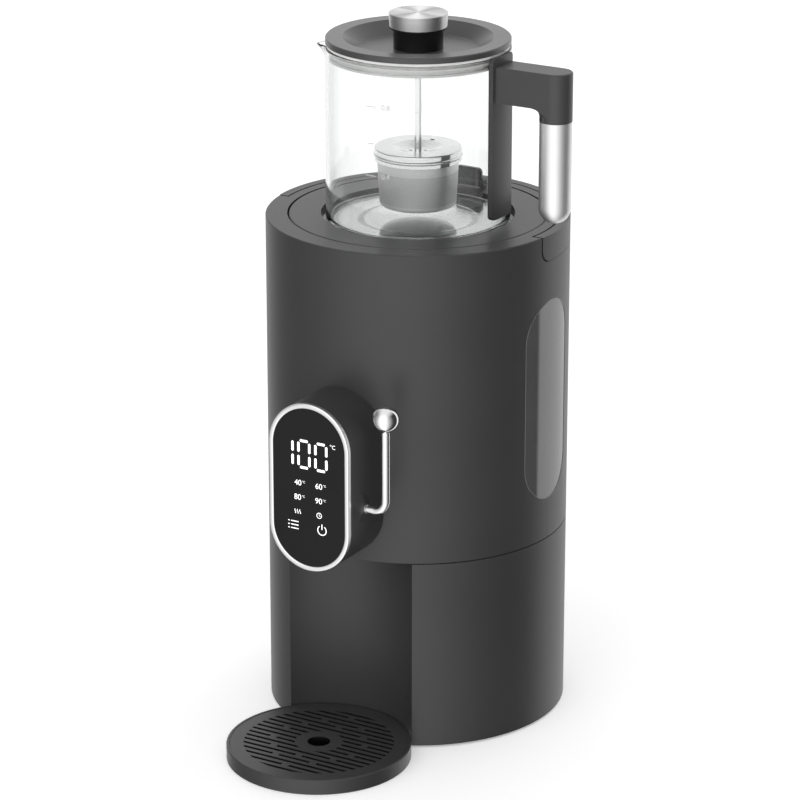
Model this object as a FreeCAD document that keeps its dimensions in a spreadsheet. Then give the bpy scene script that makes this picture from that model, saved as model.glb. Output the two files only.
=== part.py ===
"""Automatic tea maker: a round water boiler with a tap, a drip tray and a glass tea pot on top.

Millimetres, +Z up, the tap faces -Y. The origin lies on the body's axis at the table.
"""
import FreeCAD, Part
import math
import os
import Sketcher
from FreeCAD import Placement, Rotation, Vector

DIMENSIONS = (
    # Housings
    ("body_radius", 95.0, "outer radius of both housings"),
    ("body_height", 322.4, "table to the rim of the upper housing"),
    ("seam_height", 124.0, "table to the seam between the housings"),
    ("seam_gap", 0.6, "open seam between the housings"),
    ("wall", 3.0, "wall of the housings"),
    ("edge_break", 0.6, "small bevel on outer edges"),
    ("foot_height", 1.5, "rubber under the base plate"),
    ("fit_gap", 0.2, "side clearance of parts that are assembled once"),
    ("lift_gap", 0.1, "clearance under parts that are lifted off by hand"),
    ("run_gap", 0.05, "radial clearance of a running fit"),
    ("skin_gap", 0.05, "clearance between curved faces that are clamped together"),
    # Base
    ("base_thickness", 3.0, "base plate"),
    ("foot_radius", 8.0, "rubber foot"),
    ("foot_stem_radius", 3.0, "stem that holds a foot in the base plate"),
    ("foot_inset_x", 33.0, "feet from the housing, sideways"),
    ("foot_inset_y", 51.0, "feet from the housing, front to back"),
    ("screw_radius", 1.5, "screw shank"),
    ("screw_head_radius", 2.8, "screw head"),
    ("screw_head_height", 2.0, "screw head"),
    ("screw_length", 18.0, "screw shank length"),
    ("boss_radius", 5.0, "screw column in the lower housing"),
    ("boss_angle", 30.0, "screw columns from the sideways axis, degrees"),
    # Deck between the housings
    ("deck_thickness", 3.0, "deck under the tank"),
    ("deck_skirt_depth", 4.3, "skirt of the deck inside the lower housing"),
    ("deck_skirt_inset", 10.0, "inside of the deck skirt from the wall of the housing"),
    # Cup niche and tray
    ("tray_offset", 27.7, "tray axis in front of the housing"),
    ("tray_radius", 57.7, "drip tray"),
    ("tray_height", 9.85, "drip tray rim above the table"),
    ("tray_floor", 2.0, "floor of the drip tray"),
    ("niche_gap", 1.3, "tray to niche wall"),
    ("grate_radius", 55.6, "drip grate"),
    ("grate_thickness", 2.8, "drip grate"),
    ("grate_inset", 0.2, "grate below the tray rim"),
    ("grate_seat", 2.4, "width of the ledge under the grate"),
    ("slot_field_radius", 46.9, "outer limit of the grate slots"),
    ("slot_pitch", 5.3, "grate slot rows"),
    ("slot_width", 2.3, "grate slots"),
    ("outer_bridge", 28.4, "bridges of the second slot row, sideways"),
    ("middle_bridge", 21.6, "bridges of the fourth slot row, sideways"),
    ("inner_bridge", 13.4, "bridges of the sixth slot row, sideways"),
    ("bridge_width", 4.6, "bridges between slots"),
    ("plain_radius", 15.0, "slotless disc in the middle of the grate"),
    ("drain_radius", 7.2, "hole in the middle of the grate"),
    ("tongue_width", 30.0, "tongue that locks the tray to the niche"),
    ("tongue_height", 3.0, "tongue"),
    ("tongue_low", 5.0, "underside of the tongue"),
    ("tongue_reach", 6.0, "tongue beyond the tray"),
    # Upper housing rim and bail
    ("rim_depth", 19.4, "solid rim at the top of the upper housing"),
    ("cover_gap", 0.9, "cover to rim"),
    ("ledge_width", 4.5, "ledge under the edge of the cover"),
    ("bail_thickness", 6.0, "carrying bail"),
    ("bail_side_gap", 1.1, "bail to the rim inside it"),
    ("bail_height", 16.4, "height of the bail band"),
    ("bail_floor_gap", 0.2, "bail to the bottom of its recess"),
    ("bail_front", 11.3, "bail ends in front of the body axis"),
    ("bail_front_gap", 1.4, "bail ends to the recess"),
    ("bail_corner", 8.0, "rounding of the bail's lower front corners"),
    ("bail_pin_forward", 2.8, "bail pivot in front of the body axis"),
    ("bail_pin_depth", 4.0, "bail pivot below the rim"),
    ("bail_pin_radius", 2.0, "bail pivot pin"),
    ("bail_pin_engagement", 3.6, "pivot pin inside the bail"),
    ("bail_pin_length", 9.0, "pivot pin"),
    # Water tank and window
    ("tank_inset", 9.0, "water tank inside the wall of the housing"),
    ("tank_wall", 2.5, "water tank wall"),
    ("tank_step_gap", 9.0, "step in the tank's front behind the hot water riser"),
    ("tank_step_height", 34.0, "room under the step for the hot water hose"),
    ("hatch_depth", 46.0, "cuts in the housing wall start this far from the body axis"),
    ("tank_seal_height", 3.0, "seal between tank and rim"),
    ("tank_seal_width", 5.0, "seal between tank and rim"),
    ("window_y", -1.1, "window centre, front to back"),
    ("window_rise", 26.8, "lower end of the window above the seam"),
    ("window_drop", 41.9, "upper end of the window below the rim"),
    ("window_half_width", 25.0, "half the window width"),
    ("window_gap", 0.4, "gap round the window lens"),
    ("window_inset", 0.1, "window lens below the housing"),
    ("gasket_overlap", 3.5, "window gasket beyond the edge on both sides"),
    ("gasket_thickness", 2.0, "window gasket"),
    # Heater, pump and hoses
    ("boiler_gap", 7.7, "boiler to the niche wall"),
    ("boiler_radius", 21.0, "boiler"),
    ("boiler_wall", 1.5, "boiler wall"),
    ("boiler_drop", 24.0, "top of the boiler below the seam"),
    ("boiler_seat_height", 5.5, "ring that carries the boiler"),
    ("element_radius", 3.0, "heating element rod"),
    ("element_spread", 9.0, "heating element legs from the boiler axis"),
    ("element_drop", 16.0, "top of the heating element below the top of the boiler"),
    ("element_bend", 6.0, "bend of the heating element"),
    ("sensor_offset", 12.0, "temperature sensor behind the boiler axis"),
    ("sensor_radius", 4.0, "temperature sensor head"),
    ("sensor_height", 8.0, "temperature sensor head"),
    ("sensor_probe_radius", 1.8, "temperature sensor probe"),
    ("sensor_probe_length", 14.0, "temperature sensor probe"),
    ("pump_shift", 0.5, "pump from half way between boiler and tank outlet, sideways"),
    ("pump_radius", 14.0, "pump housing"),
    ("pump_height", 24.0, "pump housing"),
    ("pump_wall", 2.5, "pump housing wall"),
    ("motor_radius", 13.0, "pump motor"),
    ("motor_height", 34.0, "pump motor"),
    ("rotor_radius", 10.6, "impeller"),
    ("rotor_hub_radius", 3.6, "impeller hub"),
    ("rotor_height", 11.0, "impeller"),
    ("rotor_shaft_radius", 1.5, "impeller shaft"),
    ("rotor_shaft_length", 34.0, "impeller shaft"),
    ("vane_width", 1.4, "impeller vane"),
    ("hose_radius", 4.5, "water hose outside"),
    ("hose_bore", 3.0, "water hose inside"),
    ("hose_bend", 7.0, "bend of the water hoses"),
    ("suction_share", 0.8193, "tank outlet from the body axis, as a share of the tank's radius"),
    ("spigot_length", 11.0, "tank outlet below the tank"),
    ("port_height", 17.0, "pump ports above the table"),
    ("riser_offset", 21.0, "hot water riser in front of the boiler axis"),
    ("riser_drop", 12.0, "lowest run of the hot water hose below the seam"),
    ("boiler_outlet_offset", 4.0, "boiler outlet in front of the boiler axis"),
    # Electronics and inlet
    ("board_half_width", 50.0, "half the main board"),
    ("board_front_gap", 11.0, "main board behind the boiler"),
    ("board_back_gap", 10.0, "main board in front of the power inlet"),
    ("board_height", 20.0, "main board above the table"),
    ("board_thickness", 1.6, "circuit boards"),
    ("board_margin", 5.0, "stand-offs from the board edge"),
    ("standoff_radius", 3.0, "stand-offs"),
    ("supply_x", 22.0, "power supply block, sideways"),
    ("supply_width", 34.0, "power supply block"),
    ("supply_depth", 28.0, "power supply block"),
    ("supply_height", 24.0, "power supply block"),
    ("relay_x", -24.0, "relay, sideways"),
    ("relay_width", 19.0, "relay"),
    ("relay_depth", 15.0, "relay"),
    ("relay_height", 16.0, "relay"),
    ("inlet_low", 18.0, "power inlet above the table"),
    ("inlet_high", 40.0, "top of the power inlet"),
    ("inlet_half_width", 14.0, "half the power inlet"),
    ("inlet_wall", 2.5, "power inlet wall"),
    ("inlet_inset", 2.0, "face of the power inlet behind the outer face of the housing"),
    ("inlet_depth", 25.0, "power inlet"),
    ("inlet_flange", 4.0, "flange of the power inlet behind the housing"),
    ("inlet_flange_gap", 0.3, "flange to the curved wall"),
    ("contact_spread", 7.0, "outer inlet contacts from the middle"),
    ("contact_lift", 4.0, "middle inlet contact above the others"),
    ("contact_width", 2.0, "inlet contact"),
    ("contact_height", 4.0, "inlet contact"),
    ("contact_length", 13.0, "inlet contact"),
    # Control pod
    ("pod_reach", 37.3, "front of the pod before the housing"),
    ("pod_half_width", 28.2, "half the pod width"),
    ("pod_half_straight", 25.6, "half the straight side of the pod"),
    ("pod_centre", 181.2, "pod centre above the table"),
    ("pod_wall", 2.5, "pod wall"),
    ("pod_ring_width", 2.8, "bright ring on the pod face"),
    ("pod_ring_depth", 2.8, "bright ring, front to back"),
    ("pod_lip", 2.6, "lip that carries the display glass"),
    ("pod_lip_thickness", 2.0, "lip"),
    ("glass_gap", 0.15, "display glass to the ring"),
    ("glass_inset", 0.4, "display glass below the ring"),
    ("board_clearance", 0.3, "display board to the pod wall"),
    ("hatch_half_width", 16.0, "opening between the pod and the housing"),
    ("hatch_drop", 48.2, "opening between the pod and the housing below the middle of the pod"),
    ("hatch_rise", 33.8, "opening between the pod and the housing above the middle of the pod"),
    # Tap and lever
    ("tap_reach", 23.0, "nozzle and lever axis before the housing"),
    ("nozzle_radius", 5.4, "spout nozzle"),
    ("nozzle_bore", 3.2, "spout nozzle and valve bore"),
    ("nozzle_drop", 56.6, "mouth of the nozzle below the middle of the pod"),
    ("valve_drop", 47.2, "underside of the valve block below the middle of the pod"),
    ("valve_top_drop", 21.2, "top of the valve block below the middle of the pod"),
    ("valve_half_width", 9.0, "half the valve block"),
    ("valve_reach", 5.0, "rear of the valve block before the housing"),
    ("valve_inlet_drop", 30.2, "valve inlet below the middle of the pod"),
    ("valve_seat_drop", 35.7, "valve seat below the middle of the pod"),
    ("valve_seat_radius", 2.6, "bore above the valve seat"),
    ("valve_chamber_radius", 4.0, "chamber below the valve seat"),
    ("valve_guide_drop", 25.2, "lower end of the plunger guide below the middle of the pod"),
    ("plunger_radius", 1.5, "valve plunger"),
    ("plunger_disc_radius", 3.4, "closing disc of the plunger"),
    ("plunger_disc_height", 1.6, "closing disc of the plunger"),
    ("plunger_head_radius", 3.4, "head of the plunger"),
    ("plunger_head_height", 1.6, "head of the plunger"),
    ("plunger_gap", 0.2, "plunger head to the cam, and its disc to the seat"),
    ("lever_drop", 11.7, "lever axis below the middle of the pod"),
    ("spindle_radius", 3.0, "lever spindle"),
    ("spindle_end", -8.0, "inner end of the spindle"),
    ("cam_radius", 4.0, "cam on the spindle"),
    ("cam_offset", 1.5, "cam off the spindle axis"),
    ("cam_width", 7.0, "cam"),
    ("bush_radius", 4.4, "bush of the spindle in the pod wall"),
    ("bush_foot_radius", 6.6, "boss of the bush at the pod"),
    ("bush_tip_radius", 3.9, "boss of the bush at its tip"),
    ("bush_reach", 3.8, "boss of the bush beyond the pod"),
    ("bush_length", 9.0, "bush inside the pod"),
    ("lever_rod_radius", 2.7, "lever rod"),
    ("lever_rod_x", 45.8, "upright part of the lever, sideways"),
    ("lever_bend", 8.0, "bend of the lever rod"),
    ("lever_collar_radius", 3.4, "collar of the lever at the bush"),
    ("lever_collar_width", 1.4, "collar of the lever"),
    ("lever_gap", 0.2, "collar to the bush"),
    ("ball_radius", 8.5, "lever ball"),
    ("ball_height", 229.5, "lever ball above the table"),
    # Cover with the hot plate
    ("cover_inset", 14.5, "edge of the cover inside the outer face of the housing"),
    ("cover_depth", 14.4, "cover skirt"),
    ("cover_wall", 2.5, "cover walls"),
    ("well_gap", 3.0, "plate well round the tea pot"),
    ("plate_depth", 5.4, "hot plate below the cover"),
    ("plate_gap", 2.7, "hot plate to its well"),
    ("plate_step_width", 7.8, "raised rim of the plate"),
    ("plate_step", 0.5, "raised rim of the plate"),
    ("groove_radius", 35.6, "groove of the plate"),
    ("groove_width", 2.6, "groove of the plate"),
    ("groove_depth", 0.9, "groove of the plate"),
    ("plate_thickness", 1.6, "hot plate at its rim"),
    ("plate_shelf_width", 3.8, "shelf of the cover under the plate"),
    ("seal_height", 2.2, "silicone ring round the plate"),
    ("heater_radius", 40.0, "plate heater outside"),
    ("heater_bore", 18.0, "plate heater inside"),
    ("heater_height", 6.0, "plate heater"),
    ("pan_gap", 0.8, "pan under the cover to the ledge"),
    ("pan_depth", 25.0, "pan floor below the rim"),
    ("lug_radius", 2.7, "pull tab barrel and its lugs"),
    ("lug_width", 2.6, "lugs of the pull tab"),
    ("lug_gap", 0.3, "lugs to the pull tab"),
    ("tab_offset", 2.5, "pull tab inside the middle of the cover's flat ring"),
    ("tab_half_width", 10.0, "half the pull tab"),
    ("tab_height", 12.8, "pull tab above the cover"),
    ("tab_thickness", 2.6, "pull tab"),
    ("tab_corner", 3.0, "rounded corners of the pull tab"),
    ("tab_axis_height", 3.2, "pull tab axis above the cover"),
    ("tab_pin_radius", 1.2, "pull tab pin"),
    # Tea pot
    ("pot_radius", 57.5, "tea pot glass"),
    ("pot_height", 111.7, "tea pot glass"),
    ("glass_wall", 2.4, "tea pot glass wall"),
    ("glass_floor", 3.2, "tea pot glass floor"),
    ("glass_rounding", 4.0, "rounding at the bottom of the pot"),
    ("spout_reach", 5.5, "pouring lip beyond the glass"),
    ("spout_depth", 8.0, "height of the pouring lip"),
    ("spout_radius", 9.5, "half the width of the pouring lip"),
    ("spout_angle", 26.0, "pouring lip towards the front from straight opposite the handle, degrees"),
    ("strap_thickness", 3.0, "handle strap on the glass"),
    ("strap_half_width", 12.4, "half the handle strap"),
    ("strap_low", 10.8, "lower end of the strap above the pot bottom"),
    ("strap_top_gap", 0.6, "upper end of the strap below the lid"),
    ("strap_corner", 2.0, "rounded ends of the strap"),
    ("arm_low", 84.8, "underside of the handle arm above the pot bottom"),
    ("arm_top", 107.0, "top of the handle arm above the pot bottom"),
    ("sleeve_low", 76.4, "end of the handle sleeve above the pot bottom"),
    ("grip_reach", 38.4, "grip axis from the glass"),
    ("sleeve_radius", 10.1, "handle arm half width and sleeve"),
    ("sleeve_bend", 6.0, "inner bend between arm and sleeve"),
    ("arm_edge", 0.7, "rounding of the arm's top edge"),
    ("grip_radius", 10.0, "metal grip"),
    ("grip_low", 12.1, "tip of the grip above the pot bottom"),
    ("grip_gap", 0.15, "joint between sleeve and grip"),
    ("handle_screw_inset", 6.0, "handle screws from the arm's top and underside"),
    ("handle_screw_length", 14.0, "handle screws"),
    # Lid
    ("lid_inset", 0.3, "edge of the lid inside the face of the glass"),
    ("lid_gap", 1.8, "glass rim to the lid"),
    ("lid_thickness", 3.7, "edge of the lid"),
    ("lid_flat_width", 10.6, "flat ring of the lid"),
    ("lid_slope_width", 9.0, "slope between the flat ring and the floor of the dish"),
    ("lid_dish_depth", 7.1, "dish of the lid"),
    ("lid_floor", 2.2, "thickness of the dish"),
    ("lid_collar_gap", 3.6, "collar of the lid to the inside of the glass"),
    ("lid_collar_wall", 2.4, "collar of the lid"),
    ("lid_collar_depth", 9.6, "collar below the lid edge"),
    ("seal_fin_gap", 0.3, "seal fins to the glass"),
    ("seal_skin", 1.1, "seal on the collar"),
    ("fin_height", 1.2, "seal fins"),
    ("upper_fin_drop", 4.2, "upper fin below the lid edge"),
    ("lower_fin_drop", 7.8, "lower fin below the lid edge"),
    ("neck_radius", 15.4, "black neck of the knob"),
    ("neck_height", 13.4, "black neck of the knob"),
    ("cap_radius", 18.3, "metal cap of the knob"),
    ("cap_foot_radius", 17.7, "underside of the knob cap"),
    ("cap_height", 8.7, "metal cap of the knob"),
    ("cap_edge", 0.6, "bevel of the knob cap"),
    # Infuser
    ("rod_radius", 2.3, "infuser rods"),
    ("rod_joint_rise", 72.9, "catch between the rods above the bottom of the pot"),
    ("catch_height", 7.0, "lapped ends of the rods"),
    ("catch_gap", 0.15, "lapped ends apart"),
    ("catch_peg_radius", 0.9, "peg of the upper rod in the lower rod's lap"),
    ("rod_thread", 6.0, "upper rod inside the knob"),
    ("infuser_rise", 47.6, "infuser cover above the bottom of the pot"),
    ("infuser_cover_radius", 27.1, "infuser cover"),
    ("infuser_bead_radius", 27.8, "bead of the infuser cover"),
    ("infuser_bead_drop", 4.4, "bead below the infuser top"),
    ("infuser_cover_depth", 8.0, "skirt of the infuser cover"),
    ("infuser_sheet", 0.8, "sheet of the infuser"),
    ("handle_well_radius", 15.0, "well in the infuser cover"),
    ("handle_well_foot", 7.0, "floor of the well"),
    ("handle_well_depth", 4.2, "well in the infuser cover"),
    ("basket_radius", 25.6, "infuser basket at its top"),
    ("basket_foot_radius", 22.6, "infuser basket at its bottom"),
    ("basket_rise", 10.7, "bottom of the basket above the bottom of the pot"),
    ("basket_taper_height", 3.0, "rounded foot of the basket"),
    ("basket_entry", 5.5, "basket inside its cover"),
    ("basket_bead_height", 2.0, "rim of the basket that turns in the cover"),
)

NODE_NAME_LIMIT = 60
VANES = 6
SLOT_ROWS = 9
CUT_MARGIN = 5.0

DOC = FreeCAD.newDocument("TeaMaker")
SHEET = DOC.addObject("Spreadsheet::Sheet", "Sizes")
NODES = []


class Size:
    """A size: its value now, and the expression that works it out from the sheet."""

    def __init__(self, value, text):
        self.value = float(value)
        self.text = text

    def __add__(self, other):
        other = as_size(other)
        return Size(self.value + other.value, f"({self.text} + {other.text})")

    def __sub__(self, other):
        other = as_size(other)
        return Size(self.value - other.value, f"({self.text} - {other.text})")

    def __mul__(self, other):
        other = as_size(other)
        return Size(self.value * other.value, f"({self.text} * {other.text})")

    def __truediv__(self, other):
        other = as_size(other)
        return Size(self.value / other.value, f"({self.text} / {other.text})")

    def __neg__(self):
        return Size(-self.value, f"(0 - {self.text})")

    __radd__ = __add__


def as_size(number):
    """Turns a plain number into a size and leaves a size as it is."""
    if isinstance(number, Size):
        return number
    return Size(number, f"({number!r})")


def root(size):
    return Size(math.sqrt(size.value), f"sqrt({size.text})")


def cosine(angle):
    """Cosine of an angle that the sheet holds in degrees."""
    return Size(math.cos(math.radians(angle.value)), f"cos({angle.text} * 1 deg)")


def sine(angle):
    return Size(math.sin(math.radians(angle.value)), f"sin({angle.text} * 1 deg)")


class Dimensions:
    """The driving dimensions, each readable by its name."""

    def __init__(self, rows):
        for row, (alias, number, meaning) in enumerate(rows, start=1):
            SHEET.set(f"A{row}", meaning)
            SHEET.set(f"B{row}", str(number))
            SHEET.setAlias(f"B{row}", alias)
            setattr(self, alias, Size(number, f"Sizes.{alias}"))


D = Dimensions(DIMENSIONS)
DOC.recompute()
ZERO = as_size(0)

# Levels and places that several parts share
LOWER_TOP = D.seam_height - D.seam_gap / 2
UPPER_LOW = D.seam_height + D.seam_gap / 2
INNER_RADIUS = D.body_radius - D.wall
BASE_LOW = D.foot_height
BASE_TOP = D.foot_height + D.base_thickness
FOOT_X = D.body_radius - D.foot_inset_x
FOOT_Y = D.body_radius - D.foot_inset_y
DECK_TOP = UPPER_LOW + D.deck_thickness
DECK_SKIRT_RADIUS = INNER_RADIUS - D.deck_skirt_inset
SKIRT_LOW = UPPER_LOW - D.deck_skirt_depth
TRAY_REACH = D.body_radius + D.tray_offset
NICHE_RADIUS = D.tray_radius + D.niche_gap
NICHE_BACK_RADIUS = NICHE_RADIUS + D.wall
BOSS_REACH = INNER_RADIUS - D.boss_radius
BOSS_X = BOSS_REACH * cosine(D.boss_angle)
BOSS_Y = BOSS_REACH * sine(D.boss_angle)
BOSS_TOP = SKIRT_LOW - D.fit_gap
RIM_TOP = D.body_height
RIM_LOW = D.body_height - D.rim_depth
COVER_LOW = D.body_height - D.cover_depth
COVER_RADIUS = D.body_radius - D.cover_inset
LEDGE_TOP = COVER_LOW - D.lift_gap
LEDGE_RADIUS = COVER_RADIUS - D.ledge_width
PAN_RADIUS = LEDGE_RADIUS - D.pan_gap
TANK_TOP = RIM_LOW - D.tank_seal_height
TANK_RADIUS = INNER_RADIUS - D.tank_inset
TANK_SEAL_RADIUS = TANK_RADIUS - D.tank_seal_width
BAIL_LOW = RIM_TOP - D.bail_height
BAIL_INNER_RADIUS = D.body_radius - D.bail_thickness
BAIL_AXIS_Y = -D.bail_pin_forward
BAIL_AXIS_Z = RIM_TOP - D.bail_pin_depth
WINDOW_LOW = D.seam_height + D.window_rise
WINDOW_HIGH = D.body_height - D.window_drop
WINDOW_CENTRE = (WINDOW_LOW + WINDOW_HIGH) / 2
WINDOW_HALF_STRAIGHT = (WINDOW_HIGH - WINDOW_LOW) / 2 - D.window_half_width
BOILER_LOW = BASE_TOP + D.boiler_seat_height
BOILER_TOP = D.seam_height - D.boiler_drop
BOILER_Y = NICHE_BACK_RADIUS - TRAY_REACH + D.boiler_gap + D.boiler_radius
BOILER_OUTLET_Y = BOILER_Y - D.boiler_outlet_offset
ELEMENT_TOP = BOILER_TOP - D.element_drop
SENSOR_Y = BOILER_Y + D.sensor_offset
RISER_Y = BOILER_Y - D.riser_offset
RISER_LOW = D.seam_height - D.riser_drop
TANK_STEP_Y = -RISER_Y - D.tank_step_gap
SUCTION_X = TANK_RADIUS * D.suction_share
PUMP_X = (SUCTION_X + D.boiler_radius) / 2 - D.pump_shift
PUMP_TOP = BASE_TOP + D.pump_height
INLET_FACE = D.body_radius - D.inlet_inset
BOARD_FRONT = BOILER_Y + D.boiler_radius + D.board_front_gap
BOARD_BACK = INLET_FACE - D.inlet_depth - D.board_back_gap
PLATE_TOP = D.body_height - D.plate_depth
PLATE_LOW = PLATE_TOP - D.plate_step - D.groove_depth - D.plate_thickness
WELL_RADIUS = D.pot_radius + D.well_gap
TAB_Y = (WELL_RADIUS + COVER_RADIUS) / 2 - D.tab_offset
PLATE_RADIUS = WELL_RADIUS - D.plate_gap
PLATE_SHELF_RADIUS = PLATE_RADIUS - D.plate_shelf_width
PLATE_STEP_RADIUS = PLATE_RADIUS - D.plate_step_width
POT_LOW = PLATE_TOP + D.lift_gap
POT_RIM = POT_LOW + D.pot_height
GRIP_X = D.pot_radius + D.grip_reach
LID_LOW = POT_RIM + D.lid_gap
LID_TOP = LID_LOW + D.lid_thickness
LID_RADIUS = D.pot_radius - D.lid_inset
LID_FLAT_RADIUS = LID_RADIUS - D.lid_flat_width
LID_DISH_RADIUS = LID_FLAT_RADIUS - D.lid_slope_width
LID_COLLAR_RADIUS = D.pot_radius - D.glass_wall - D.lid_collar_gap
DISH_TOP = LID_TOP - D.lid_dish_depth
NECK_TOP = DISH_TOP + D.neck_height
ROD_JOINT = POT_LOW + D.rod_joint_rise
INFUSER_TOP = POT_LOW + D.infuser_rise
BASKET_LOW = POT_LOW + D.basket_rise
TAB_AXIS = D.body_height + D.tab_axis_height
POD_FACE = D.body_radius + D.pod_reach
POD_BACK_OF_RING = POD_FACE - D.pod_ring_depth
POD_BACK_OF_LIP = POD_BACK_OF_RING - D.pod_lip_thickness
HATCH_LOW = D.pod_centre - D.hatch_drop
HATCH_HIGH = D.pod_centre + D.hatch_rise
TAP_Y = -(D.body_radius + D.tap_reach)
NOZZLE_LOW = D.pod_centre - D.nozzle_drop
VALVE_BACK = -(D.body_radius + D.valve_reach)
VALVE_LOW = D.pod_centre - D.valve_drop
VALVE_SEAT = D.pod_centre - D.valve_seat_drop
VALVE_INLET = D.pod_centre - D.valve_inlet_drop
VALVE_GUIDE = D.pod_centre - D.valve_guide_drop
VALVE_TOP = D.pod_centre - D.valve_top_drop
LEVER_HEIGHT = D.pod_centre - D.lever_drop


# Parts of the document

def bind(item, **sizes):
    """Ties properties of a document object to the sheet."""
    for name, size in sizes.items():
        setattr(item, name, size.value)
        item.setExpression(name, size.text)
    return item


def place(item, x=ZERO, y=ZERO, z=ZERO, turn=None):
    """Puts a document object where the sheet says, turned by an axis and an angle if given."""
    rotation = Rotation(*turn) if turn else Rotation()
    item.Placement = Placement(Vector(x.value, y.value, z.value), rotation)
    for axis, size in zip("xyz", (x, y, z)):
        item.setExpression(f"Placement.Base.{axis}", size.text)
    return item


def cylinder(radius, low, high, x=ZERO, y=ZERO):
    """An upright cylinder between two heights."""
    item = DOC.addObject("Part::Cylinder", "Cylinder")
    bind(item, Radius=radius, Height=high - low)
    return place(item, x, y, low)


def cylinder_along_x(radius, start, end, y, z):
    item = DOC.addObject("Part::Cylinder", "CylinderX")
    bind(item, Radius=radius, Height=end - start)
    return place(item, start, y, z, turn=(Vector(0, 1, 0), 90))


def cylinder_along_y(radius, start, end, x, z):
    item = DOC.addObject("Part::Cylinder", "CylinderY")
    bind(item, Radius=radius, Height=end - start)
    return place(item, x, start, z, turn=(Vector(1, 0, 0), -90))


def cone(low_radius, high_radius, low, high, x=ZERO, y=ZERO):
    item = DOC.addObject("Part::Cone", "Cone")
    bind(item, Radius1=low_radius, Radius2=high_radius, Height=high - low)
    return place(item, x, y, low)


def sphere(radius, x, y, z):
    item = DOC.addObject("Part::Sphere", "Sphere")
    bind(item, Radius=radius)
    return place(item, x, y, z)


def box(x, y, z):
    """A box between pairs of limits along each axis."""
    item = DOC.addObject("Part::Box", "Box")
    bind(item, Length=x[1] - x[0], Width=y[1] - y[0], Height=z[1] - z[0])
    return place(item, x[0], y[0], z[0])


def fuse(*items):
    item = DOC.addObject("Part::MultiFuse", "Fuse")
    item.Shapes = list(items)
    return item


def group(*items):
    """Separate solids that share one node."""
    item = DOC.addObject("Part::Compound", "Group")
    item.Links = list(items)
    return item


def cut(base, *tools):
    item = DOC.addObject("Part::Cut", "Cut")
    item.Base = base
    item.Tool = tools[0] if len(tools) == 1 else fuse(*tools)
    return item


def common(first, second):
    item = DOC.addObject("Part::Common", "Common")
    item.Base = first
    item.Tool = second
    return item


def ring(outer, inner, low, high, x=ZERO, y=ZERO):
    """An upright tube between two heights."""
    margin = as_size(CUT_MARGIN)
    return cut(cylinder(outer, low, high, x, y), cylinder(inner, low - margin, high + margin, x, y))


def node(name, item):
    """Names a finished sub-part, which is written to its own file."""
    item.Label = name
    NODES.append(item)
    return item


# Bodies made from sketches

def new_body(name):
    return DOC.addObject("PartDesign::Body", name)


def sketch_on(body, role, offset=ZERO):
    """A sketch on one of the body's own origin planes, moved along the plane's normal."""
    sketch = body.newObject("Sketcher::SketchObject", body.Name + "Sketch")
    plane = [item for item in body.Origin.OriginFeatures if item.Role == role][0]
    sketch.AttachmentSupport = [(plane, "")]
    sketch.MapMode = "FlatFace"
    sketch.AttachmentOffset = Placement(Vector(0, 0, offset.value), Rotation())
    sketch.setExpression("AttachmentOffset.Base.z", offset.text)
    return sketch


def constrain(sketch, size, *constraint):
    index = sketch.addConstraint(Sketcher.Constraint(*constraint, size.value))
    sketch.setExpression(f"Constraints[{index}]", size.text)


def pin_point(sketch, element, end, spot):
    """Holds a point of the sketch at a pair of sizes."""
    for kind, size in zip(("DistanceX", "DistanceY"), spot):
        constrain(sketch, size, kind, -1, 1, element, end)


def flat(spot):
    return Vector(spot[0].value, spot[1].value, 0)


def outline(sketch, corners):
    """Draws a closed outline with straight sides between pairs of sizes."""
    first = sketch.GeometryCount
    count = len(corners)
    for start, end in zip(corners, corners[1:] + corners[:1]):
        sketch.addGeometry(Part.LineSegment(flat(start), flat(end)))
    for side in range(count):
        following = first + (side + 1) % count
        sketch.addConstraint(Sketcher.Constraint("Coincident", first + side, 2, following, 1))
    for side, corner in enumerate(corners):
        pin_point(sketch, first + side, 1, corner)


def circle(sketch, centre, radius):
    element = sketch.addGeometry(Part.Circle(flat(centre), Vector(0, 0, 1), radius.value))
    pin_point(sketch, element, 3, centre)
    constrain(sketch, radius, "Radius", element)


def arc_between(sketch, centre, radius, start, end):
    """An anticlockwise arc about a pinned centre, from one angle to another in degrees."""
    whole = Part.Circle(flat(centre), Vector(0, 0, 1), radius.value)
    arc = Part.ArcOfCircle(whole, math.radians(start), math.radians(end))
    element = sketch.addGeometry(arc)
    pin_point(sketch, element, 3, centre)
    constrain(sketch, radius, "Radius", element)
    return element


def stadium(sketch, centre, half_width, half_straight):
    """A closed outline with two straight upright sides and round ends."""
    across, up = centre
    top = arc_between(sketch, (across, up + half_straight), half_width, 0, 180)
    bottom = arc_between(sketch, (across, up - half_straight), half_width, 180, 360)
    for element, height in ((top, up + half_straight), (bottom, up - half_straight)):
        for end in (1, 2):
            constrain(sketch, height, "DistanceY", -1, 1, element, end)
    for first, last, side in ((top, bottom, -1), (bottom, top, 1)):
        reach = across.value + side * half_width.value
        heights = (up.value + half_straight.value, up.value - half_straight.value)
        if first is bottom:
            heights = heights[::-1]
        line = Part.LineSegment(Vector(reach, heights[0], 0), Vector(reach, heights[1], 0))
        element = sketch.addGeometry(line)
        sketch.addConstraint(Sketcher.Constraint("Coincident", first, 2, element, 1))
        sketch.addConstraint(Sketcher.Constraint("Coincident", element, 2, last, 1))


def pad(body, sketch, length, both_sides=False):
    item = body.newObject("PartDesign::Pad", body.Name + "Pad")
    item.Profile = sketch
    item.Midplane = both_sides
    bind(item, Length=length)
    return item


def revolve(body, sketch):
    item = body.newObject("PartDesign::Revolution", body.Name + "Revolution")
    item.Profile = sketch
    item.ReferenceAxis = (sketch, ["V_Axis"])
    item.Angle = 360
    return item


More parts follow.
